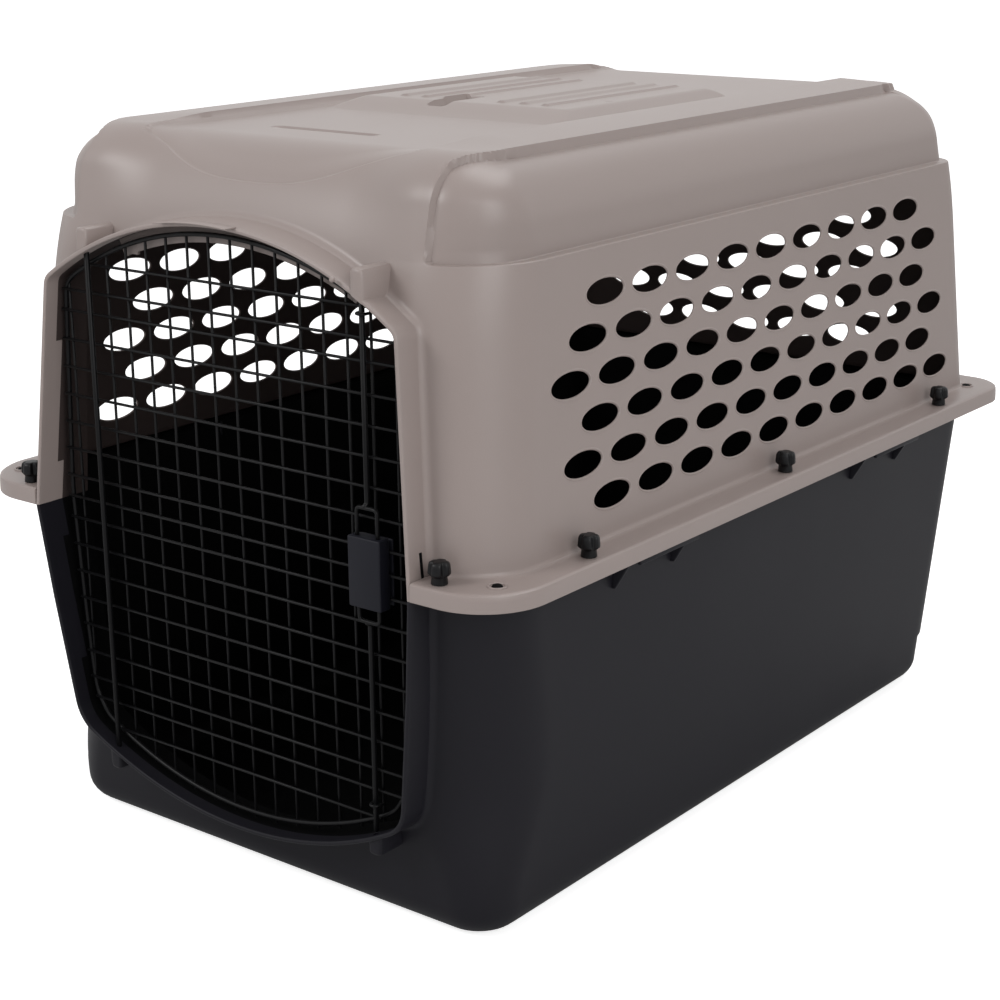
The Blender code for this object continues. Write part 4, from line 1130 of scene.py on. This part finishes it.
lower_columns, lower_ends = loop_columns(
    LOWER_FIXED_X * np.arange(-LOWER_FRONT_HALF, LOWER_FRONT_HALF + 1) / LOWER_FRONT_HALF,
    -LOWER_FIXED_Y + 2 * LOWER_FIXED_Y * np.arange(LOWER_SIDE_COUNT + 1) / LOWER_SIDE_COUNT,
    LOWER_CORNER, LOWER_CORNER)
lower_front_end = lower_ends[0]
patch_row = list(LOWER_ROWS).index(LOWER_PATCH_LABEL)
lower_points, lower_along = (
    np.stack(part, 1) for part in zip(*(lower_wall_column(c) for c in lower_columns)))
keep = np.ones((len(LOWER_ROWS) - 1, len(lower_columns)), bool)
keep[:patch_row, :lower_front_end - 1] = False
used = used_corners(keep)
used[:patch_row + 1, [0, lower_front_end - 1]] = True
lower = Builder()
lower_index = np.full(used.shape, -1)
lower_index[used] = lower.add(lower_points[used])
lower.grid(lower_index, keep, flip=True)

sill = lower_outline(patch_row, lower_front_end - 1, LOWER_ROWS[0])
edge = opening_boundary(patch_row, lower_front_end)
front_opening(lower, lower_index[edge], lower_along[edge], LOWER_ROWS[edge[0]], sill,
              -outline_normals(sill), lower_front_point, lambda z: z, steps=LOWER_CORNER,
              flip=True)

# Flange nested under the upper one: offset, height
LOWER_FLANGE = ((1.2, 325.4), (3.5, 325.7), (12.0, 325.7), (24.0, 325.7), (27.4, 325.9),
                (27.6, 326.6), (27.6, 328.4))
LOWER_ROOT = {False: (FLANGE_ROOT_X, LOWER_HALF_Y, 62.0), True: (FLANGE_ROOT_X, LOWER_HALF_Y, 40.0)}
LOWER_LIP = {False: (308.8, 447.8, 57.0), True: (308.8, 447.8, 39.0)}
around = list(range(lower_front_end - 1, len(lower_columns))) + [0]
add_flange(lower, [lower_columns[i] for i in around], lower_index[0, around], LOWER_FLANGE,
           LOWER_ROOT, LOWER_LIP, flip=True)

floor_edges = patch_edges(lower_ends)
add_patch(lower, coons_patch(lower_points[-1], floor_edges), lower_index[-1], floor_edges,
          flip=True)
finish_shell("lower_shell_skin", "lower_shell", lower, 0.0030, CHARCOAL, CHARCOAL_PAINTED_SHADE, **LOWER)

outline = lower_outline(60, 150, 316.2)
lower_collar = make_collar("lower_collar", outline, -outline_normals(outline), CHARCOAL,
                           CHARCOAL_PAINTED_SHADE, **LOWER)

# ------------------------------------------------------------------ bosses for the rod ends
BOSS_SINK = 3.4                     # how far a boss reaches into the collar
BOSS_HALF_WIDTH = 6.9


def arch_z(x):
    return ARCH_CENTRE_Z + math.sqrt((ARCH_RADIUS - BOSS_SINK) ** 2 - x * x)


def sill_z(x):
    return SILL_CENTRE_Z - math.sqrt((SILL_RADIUS - BOSS_SINK) ** 2 - x * x)


def make_boss(name, centre_x, outer_z, front_y, back_y, upward):
    """A rounded block standing off the collar, following the collar's curve on its inner side."""
    inner_z, direction = (arch_z, 1) if upward else (sill_z, -1)
    stations = ((back_y, 0), (front_y + 3.0, 0), (front_y + 1.0, 0.5), (front_y + 0.2, 1.4),
                (front_y, 2.8))                         # y, shrink
    mesh = Builder()
    rows = []
    for y, shrink in stations:
        half = BOSS_HALF_WIDTH - shrink
        points = []
        for k in range(9):
            x = centre_x + half * (1 - 2 * k / 8)
            points.append((x, y, inner_z(x)))
        for k in range(7):
            turn = math.pi * k / 6
            cosine = math.cos(turn)
            x = centre_x - half * (abs(cosine) ** 0.45) * math.copysign(1, cosine)
            height = abs(math.sin(turn)) ** 0.35
            points.append((x, y, lerp(inner_z(x) + direction * 6,
                                      outer_z - direction * shrink, height)))
        rows.append(mesh.add(points))
    for a, b in zip(rows, rows[1:]):
        mesh.quads(a, b, closed=True)
    mesh.faces.append(tuple(rows[-1]))
    mesh.faces.append(tuple(reversed(rows[0])))
    material, owner = (TAUPE, UPPER) if upward else (CHARCOAL, LOWER)
    return new_object(name, mesh, material, **owner, angle=55)


def drill(objects, z_low, z_high):
    """Cut a round bore for the latch rod's end through closed pieces."""
    mesh = Builder()
    add_tube(mesh, [(LATCH_X, ROD_Y, z_low), (LATCH_X, ROD_Y, z_high)], 3.3, 20)
    tool = new_object("bore_tool", mesh)
    for ob in objects:
        add_cut(ob, tool)
        apply_modifiers(ob)
        sharpen(ob, 50)
    bpy.data.objects.remove(tool, do_unlink=True)


upper_boss = make_boss("upper_boss_right", LATCH_CENTRE_X, 573.0, -437.0, -396.0, upward=True)
make_boss("upper_boss_left", HINGE_X, 574.5, -434.5, -396.0, upward=True)
lower_boss = make_boss("lower_boss_right", LATCH_CENTRE_X, 73.0, -434.0, -394.0, upward=False)
make_boss("lower_boss_left", HINGE_X, 66.5, -434.0, -394.0, upward=False)
drill([upper_collar, upper_boss], 538.0, 566.0)
drill([lower_collar, lower_boss], 74.0, 101.0)


# ------------------------------------------------------------------ details of the collar
def arc_band(name, radii, depths, span, material, count):
    """A flat curved bar with softened edges, concentric with the arch."""
    (inner, outer), (front, back), soft = radii, depths, 0.5
    section = [(inner, back - soft), (inner, front + soft), (inner + soft, front),
               (outer - soft, front), (outer, front + soft), (outer, back - soft),
               (outer - soft, back), (inner + soft, back)]
    angles = np.linspace(math.asin(span[0] / 345.0), math.asin(span[1] / 345.0), count)
    mesh = Builder()
    rows = [mesh.add(np.stack([radius * np.sin(angles), np.full(count, y),
                               ARCH_CENTRE_Z + radius * np.cos(angles)], 1))
            for radius, y in section]
    for a, b in zip(rows, rows[1:] + rows[:1]):
        mesh.quads(a, b)
    mesh.faces.append(tuple(row[0] for row in rows))
    mesh.faces.append(tuple(row[-1] for row in reversed(rows)))
    new_object(name, mesh, material, **UPPER, angle=50)


arc_band("door_stop_rail", (336.4, 353.0), (-416.4, -413.6), (-124.0, 149.0), TAUPE_SHADED, 90)
bevelled_box("door_stop_tab", (-118.0, -416.6, 553.0), (-104.5, -413.4, 566.0), 0.7,
             TAUPE_SHADED, **UPPER)
# plain raised bar on top of the arch
arc_band("arch_band_bar", (ARCH_RADIUS, ARCH_RADIUS + 1.0), (-444.5, -431.0), (-52.0, 30.0),
         TAUPE, 60)


def make_arch_pip():
    """Small pip on the arch beside the right boss."""
    x = 143.0
    z = ARCH_CENTRE_Z + math.sqrt(ARCH_RADIUS ** 2 - x ** 2)
    outward = Vector((x, 0, z - ARCH_CENTRE_Z)).normalized()
    foot = Vector((x, -441.0, z))
    mesh = Builder()
    add_tube(mesh, [tuple(foot - outward * 0.6), tuple(foot + outward * 1.5)], 2.3, 14)
    new_object("arch_pip", mesh, TAUPE, **UPPER, angle=50)


def side_box(name, side, x_span, y_span, z_span, bevel, material, owner, segments=3, shape=None):
    """A bevelled box given by its distances from the middle plane."""
    x_low, x_high = sorted(side * x for x in x_span)
    bevelled_box(name, (x_low, y_span[0], z_span[0]), (x_high, y_span[1], z_span[1]), bevel,
                 material, **owner, segments=segments, shape=shape)


def make_collar_slot(side, label):
    """Narrow slot in the outer side of the collar's foot, drawn as a block in a dark painted shade.
    """
    def lean(v):
        x = 223.0 - 0.0885 * (v.co.z - 331.0) if abs(v.co.x) > 221.5 else 219.0
        v.co.x = side * x

    side_box("collar_slot_painted_shade_" + label, side, (220.0, 223.0), (-435.2, -431.6), (331.0, 352.5), 0.5,
             CHARCOAL_PAINTED_SHADE, UPPER, 2, lean)


make_arch_pip()
for side, label in ((-1, "left"), (1, "right")):
    make_collar_slot(side, label)


# ------------------------------------------------------------------ details of the flanges
def make_tie_down(label, x, y):
    """A raised rim round an opening in the flange's corner, whose depth is drawn as a plug of
    painted shade.
    """
    mesh = Builder()
    angles = np.linspace(0, 2 * math.pi, 36, endpoint=False)
    circle = [(x + 7.2 * math.cos(t), y + 7.2 * math.sin(t), 332.15) for t in angles]
    add_tube(mesh, circle, 1.1, closed=True)
    new_object("tie_down_rim_" + label, mesh, TAUPE, **UPPER, angle=60)
    # painted shade: a dark plug fills the opening
    mesh = Builder()
    add_tube(mesh, [(x, y, 330.0), (x, y, 332.3)], 4.6, 28)
    new_object("tie_down_hole_painted_shade_" + label, mesh, CHARCOAL_PAINTED_SHADE, **UPPER, angle=50)


for end, y in (("front", -415.0), ("rear", 405.0)):
    make_tie_down(end + "_right", 283.0, y)
    make_tie_down(end + "_left", -283.0, y)

GRIP_Y, GRIP_HALF = 206.0, 45.0
GRIP_TOP = 325.9


def make_grip(side, centre_y, label):
    """Hand grip under the flange: a bar between two triangular gussets."""
    def taper(v):
        if v.co.z < 308:
            v.co.x = side * (277.5 if abs(v.co.x) < 290 else 281.5)

    for end, letter in ((-1, "a"), (1, "b")):
        y = centre_y + end * GRIP_HALF
        side_box(f"gusset_{label}_{letter}", side, (277.0, 307.0), (y - 1.8, y + 1.8),
                 (284.0, GRIP_TOP), 0.8, CHARCOAL, LOWER, 2, taper)
    side_box("grip_bar_" + label, side, (303.0, 307.0),
             (centre_y - GRIP_HALF, centre_y + GRIP_HALF), (309.5, GRIP_TOP), 1.2, CHARCOAL, LOWER)


for side, side_name in ((-1, "left"), (1, "right")):
    for end, end_name in ((-1, "front"), (1, "rear")):
        make_grip(side, end * GRIP_Y, f"{side_name}_{end_name}")

# ------------------------------------------------------------------ door
DOOR_WIRE_X = [-166.1 + 25.4 * k for k in range(-1, 15)]
DOOR_WIRE_Z = (103.0, 128.5, 147.6, 173.0, 199.3, 224.7, 250.5, 276.2, 301.9, 322.0, 342.1,
               367.7, 393.0, 418.5, 444.0, 469.5, 496.2, 514.9, 540.3)
# Right side of the perimeter, downwards: x, z
DOOR_SIDE = ((195.4, 517.5), (195.8, 512.0), (196.8, 497.0), (205.0, 338.0), (205.0, 318.0),
             (201.0, 255.0), (198.0, 210.0), (194.0, 163.0), (190.5, 134.0))


def wire_object(name, node, mesh, body):
    ob = new_object(name, mesh, WIRE, body, "wire", angle=60, weld=0.000004)
    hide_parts(node)


def door_perimeter():
    """Closed perimeter in X, Z: an arc above and below, corners softened by averaging."""
    top = [(x, 228.0 + math.sqrt(352.3 ** 2 - x * x)) for x in np.linspace(-191, 191, 64)]
    bottom = [(x, 420.0 - math.sqrt(355.0 ** 2 - x * x)) for x in np.linspace(178, -178, 60)]
    left = [(-x, z) for x, z in reversed(DOOR_SIDE)]
    points = resample(np.array(top + list(DOOR_SIDE) + bottom + left + top[:1]), 360)[:-1]
    for _ in range(3):
        points = 0.25 * np.roll(points, 1, 0) + 0.5 * points + 0.25 * np.roll(points, -1, 0)
    return points


def perimeter_span(perimeter, axis, value):
    """Lowest and highest other coordinate where the perimeter crosses a line."""
    found = []
    for a, b in zip(perimeter, np.roll(perimeter, -1, 0)):
        if (a[axis] - value) * (b[axis] - value) < 0:
            t = (value - a[axis]) / (b[axis] - a[axis])
            found.append(lerp(a[1 - axis], b[1 - axis], t))
    return min(found), max(found)


def make_door():
    perimeter = door_perimeter()
    mesh = Builder()
    path = np.stack([perimeter[:, 0], np.full(len(perimeter), DOOR_Y + 1.9), perimeter[:, 1]], 1)
    add_tube(mesh, path, 2.1, 12, closed=True)
    for z in DOOR_WIRE_Z:
        low, high = perimeter_span(perimeter, 1, z)
        add_tube(mesh, [(low - 3.2, DOOR_Y, z), (high + 3.2, DOOR_Y, z)], 1.3, 12)
    for x in DOOR_WIRE_X:
        low, high = perimeter_span(perimeter, 0, x)
        add_tube(mesh, [(x, DOOR_Y + 2.4, low - 4.6), (x, DOOR_Y + 2.4, high + 1.0)], 1.3, 12)
    wire_object("door_wires", "door_grid", mesh, "door")


def make_hinge():
    mesh = Builder()
    add_tube(mesh, [(HINGE_X, ROD_Y, 79.5), (HINGE_X, ROD_Y, 561.0)], 2.45, 16)
    wire_object("hinge_wire", "hinge_rod", mesh, "door")


# ------------------------------------------------------------------ latch
YOKE_HALF, YOKE_Y = 11.0, -431.6
LATCH_Z = 324.2                     # middle of the housing
HOUSING_HALF_X = 17.2


def make_latch_rod(level, end_z, yoke_z, bar_z):
    """A rod whose inner end carries a two-legged yoke closed by a bar."""
    direction = 1 if end_z > yoke_z else -1
    left, right = LATCH_CENTRE_X - YOKE_HALF, LATCH_CENTRE_X + YOKE_HALF
    mesh = Builder()
    rod = round_path([(LATCH_X, ROD_Y, end_z), (LATCH_X, ROD_Y, yoke_z + 3.0 * direction),
                      (LATCH_X - 0.6, YOKE_Y - 0.4, yoke_z + 0.2 * direction)], 3.0)
    add_tube(mesh, rod, 2.35, 14)
    yoke = round_path([(left, YOKE_Y, bar_z), (left, YOKE_Y, yoke_z), (right, YOKE_Y, yoke_z),
                       (right, YOKE_Y, bar_z)], 4.5, 6)
    add_tube(mesh, yoke, 1.75, 12)
    add_tube(mesh, [(left - 1.5, YOKE_Y, bar_z), (right + 1.5, YOKE_Y, bar_z)], 1.6)
    wire_object(level + "_latch_wire", level + "_latch_rod", mesh, level + "_latch")


def make_latch_housing():
    """An open-backed housing with two chambers and bores for the yokes' legs."""
    left, right = LATCH_CENTRE_X - HOUSING_HALF_X, LATCH_CENTRE_X + HOUSING_HALF_X
    cover = bevelled_box("latch_housing", (left, -437.5, 294.0), (right, -424.6, 354.4), 1.5,
                         LATCH_PLASTIC, slot="black_plastic")
    tools = [bevelled_box("chamber_tool", (left + 1.8, -436.0, low), (right - 1.8, -410.0, high),
                          0.6)
             for low, high in ((296.0, 322.7), (325.7, 352.4))]
    for side in (-1, 1):
        for end in (-1, 1):
            x = LATCH_CENTRE_X + side * YOKE_HALF
            mesh = Builder()
            add_tube(mesh, [(x, YOKE_Y, LATCH_Z + end * 24.0), (x, YOKE_Y, LATCH_Z + end * 40.0)],
                     2.25, 16)
            tools.append(new_object("leg_tool", mesh, weld=None))
    for tool in tools:
        add_cut(cover, tool)
    apply_modifiers(cover)
    for tool in tools:
        bpy.data.objects.remove(tool, do_unlink=True)
    sharpen(cover, 45)
    set_material(cover, LATCH_PLASTIC)
    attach(cover, "door")
    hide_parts("latch_cover")
    backing = bevelled_box("latch_backing", (left, -421.1, 296.0), (right, -418.9, 352.4), 0.8,
                           LATCH_PLASTIC, "door", "black_plastic")
    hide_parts("latch_back_plate")


def make_rod_guide(name, z):
    """A half loop round the front of a rod, ending on the door's wires."""
    leg_y = DOOR_Y - 0.6
    path = [(LATCH_X + 4.4, leg_y, z)]
    for k in range(13):
        turn = math.pi * (2 - k / 12)
        path.append((LATCH_X + 4.3 * math.cos(turn), ROD_Y + 4.3 * math.sin(turn), z))
    path.append((LATCH_X - 4.4, leg_y, z))
    mesh = Builder()
    add_tube(mesh, path, 1.25)
    wire_object(name + "_wire", name, mesh, "door")


make_door()
make_hinge()
make_latch_rod("upper", end_z=545.2, yoke_z=378.0, bar_z=337.8)
make_latch_rod("lower", end_z=93.8, yoke_z=281.0, bar_z=310.6)
make_latch_housing()
for name in ("upper_latch_spring", "lower_latch_spring"):
    set_material(frame["nodes"][name], STEEL)
make_rod_guide("upper_rod_guide", 536.0)
make_rod_guide("lower_rod_guide", 118.0)

# ------------------------------------------------------------------ wing nuts
NUT_BASE_Z = 332.2
NUT_TURN = 0.35
NUT_SEGMENTS = 64
# height, radius, strength of the lobes
NUT_LEVELS = ((0.0, 6.4, 0.0), (0.5, 6.9, 0.0), (5.6, 6.3, 0.0), (6.6, 6.6, 0.15),
              (7.4, 7.4, 0.6), (8.4, 7.9, 0.95), (9.4, 8.1, 1.0), (15.5, 7.6, 1.0),
              (17.2, 7.2, 0.95), (18.3, 6.4, 0.85), (18.8, 5.2, 0.7), (18.9, 3.6, 0.3))


def nut_mesh(centre_x, centre_y):
    """A round knob with cross-shaped lobes on a narrower foot."""
    mesh = Builder()
    angles = np.arange(NUT_SEGMENTS) * 2 * math.pi / NUT_SEGMENTS
    wave = np.abs(np.cos(2 * (angles - NUT_TURN)))
    lobes = 0.16 * smooth((wave - 0.35) / 0.4) - 0.20 * smooth((0.55 - wave) / 0.45)
    rings = []
    for z, radius, strength in NUT_LEVELS:
        reach = radius * (1.0 + strength * lobes)
        rings.append(mesh.add(np.stack([centre_x + reach * np.cos(angles),
                                        centre_y + reach * np.sin(angles),
                                        np.full(NUT_SEGMENTS, NUT_BASE_Z + z)], 1)))
    for a, b in zip(rings, rings[1:]):
        mesh.quads(a, b, closed=True)
    mesh.faces.append(tuple(reversed(rings[0])))
    mesh.faces.append(tuple(rings[-1]))
    return mesh


for body in sorted(frame["bodies"]):
    if not body.startswith("nut_"):
        continue
    where = body[4:]
    low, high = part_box("wing_nut_" + where)
    mesh = nut_mesh((low.x + high.x) / 2 / MM, (low.y + high.y) / 2 / MM)
    nut = new_object("wingnut_" + where, mesh, BLACK, body, "black_plastic", 50, weld=None)
    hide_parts("wing_nut_" + where)
    set_material(frame["nodes"]["bolt_" + where], STEEL)


# ------------------------------------------------------------------ floor, lights, world, camera
# All in metres
def make_floor_material():
    """A pale floor that also glows, but only to the camera."""
    material, tree, shader = new_material("pale_floor")
    shader.inputs["Base Color"].default_value = (0.80, 0.80, 0.80, 1)
    shader.inputs["Roughness"].default_value = 0.7
    shader.inputs["Specular IOR Level"].default_value = 0.15
    glow = add_node(tree, "ShaderNodeEmission", {"Color": (1.0, 1.0, 1.0, 1), "Strength": 0.74})
    rays = add_node(tree, "ShaderNodeLightPath")
    amount = add_node(tree, "ShaderNodeMath", {1: 1.0}, operation="MULTIPLY")
    tree.links.new(rays.outputs["Is Camera Ray"], amount.inputs[0])
    total = add_node(tree, "ShaderNodeAddShader")
    switch = add_node(tree, "ShaderNodeMixShader")
    dark = add_node(tree, "ShaderNodeEmission", {"Strength": 0.0})
    tree.links.new(amount.outputs[0], switch.inputs[0])
    tree.links.new(dark.outputs[0], switch.inputs[1])
    tree.links.new(glow.outputs[0], switch.inputs[2])
    tree.links.new(shader.outputs[0], total.inputs[0])
    tree.links.new(switch.outputs[0], total.inputs[1])
    tree.links.new(total.outputs[0], tree.nodes["Material Output"].inputs["Surface"])
    return material


def make_floor(radius=30.0, z=-0.0005, segments=64):
    data = bpy.data.meshes.new("studio_floor")
    angles = [2 * math.pi * k / segments for k in range(segments)]
    data.from_pydata([(radius * math.cos(t), radius * math.sin(t), z) for t in angles], [],
                     [tuple(range(segments))])
    floor = bpy.data.objects.new("studio_floor", data)
    data.materials.append(make_floor_material())
    bpy.context.scene.collection.objects.link(floor)


def area_light(name, location, target, size, power):
    light = bpy.data.lights.new(name, "AREA")
    light.shape = "RECTANGLE"
    light.size = light.size_y = size
    light.energy = power
    ob = bpy.data.objects.new(name, light)
    bpy.context.scene.collection.objects.link(ob)
    ob.location = location
    aim = Vector(target) - Vector(location)
    ob.rotation_euler = aim.to_track_quat("-Z", "Y").to_euler()


def make_world(diffuse=0.42, reflected=0.95, seen=1.02):
    """A white world whose strength depends on the kind of ray."""
    world = bpy.data.worlds.new("studio")
    world.use_nodes = True
    tree = world.node_tree
    background = tree.nodes["Background"]
    background.inputs["Color"].default_value = (1.0, 1.0, 1.0, 1)
    rays = add_node(tree, "ShaderNodeLightPath")
    factor, first, second = 0, 2, 3         # float sockets of the mix node

    def add_mix(ray, values):
        mix = tree.nodes.new("ShaderNodeMix")
        mix.data_type = "FLOAT"
        for socket, value in values.items():
            mix.inputs[socket].default_value = value
        tree.links.new(rays.outputs[ray], mix.inputs[factor])
        return mix

    unseen = add_mix("Is Glossy Ray", {first: diffuse, second: reflected})
    strength = add_mix("Is Camera Ray", {second: seen})
    tree.links.new(unseen.outputs[0], strength.inputs[first])
    tree.links.new(strength.outputs[0], background.inputs["Strength"])
    bpy.context.scene.world = world


def make_camera(location, azimuth, elevation, roll, lens):
    """A camera placed by its viewing direction and roll, in degrees."""
    azimuth, elevation, roll = (math.radians(angle) for angle in (azimuth, elevation, roll))
    back = Vector((math.sin(azimuth) * math.cos(elevation),
                   -math.cos(azimuth) * math.cos(elevation), math.sin(elevation)))
    level_right = (-back).cross(Vector((0, 0, 1))).normalized()
    level_up = level_right.cross(-back)
    right = level_right * math.cos(roll) + level_up * math.sin(roll)
    up = -level_right * math.sin(roll) + level_up * math.cos(roll)
    data = bpy.data.cameras.new("camera")
    data.lens = lens
    data.sensor_width = 36.0
    data.sensor_fit = "AUTO"
    data.clip_end = 100
    camera = bpy.data.objects.new("camera", data)
    bpy.context.scene.collection.objects.link(camera)
    matrix = Matrix((right, up, back)).transposed().to_4x4()
    matrix.translation = location
    camera.matrix_world = matrix
    bpy.context.scene.camera = camera


make_floor()
area_light("key", location=(-1.6, -3.0, 2.6), target=(0, 0, 0.35), size=1.3, power=50)
area_light("fill", location=(3.2, -1.6, 2.0), target=(0, 0, 0.35), size=2.0, power=46)
area_light("top", location=(0.3, 1.0, 3.6), target=(0, 0.1, 0.5), size=2.0, power=39)
make_world()
bpy.context.scene.view_settings.view_transform = "Standard"
make_camera(location=Vector((1221.1, -1607.2, 859.0)) * MM, azimuth=38.093, elevation=16.754,
            roll=-0.519, lens=74.24)
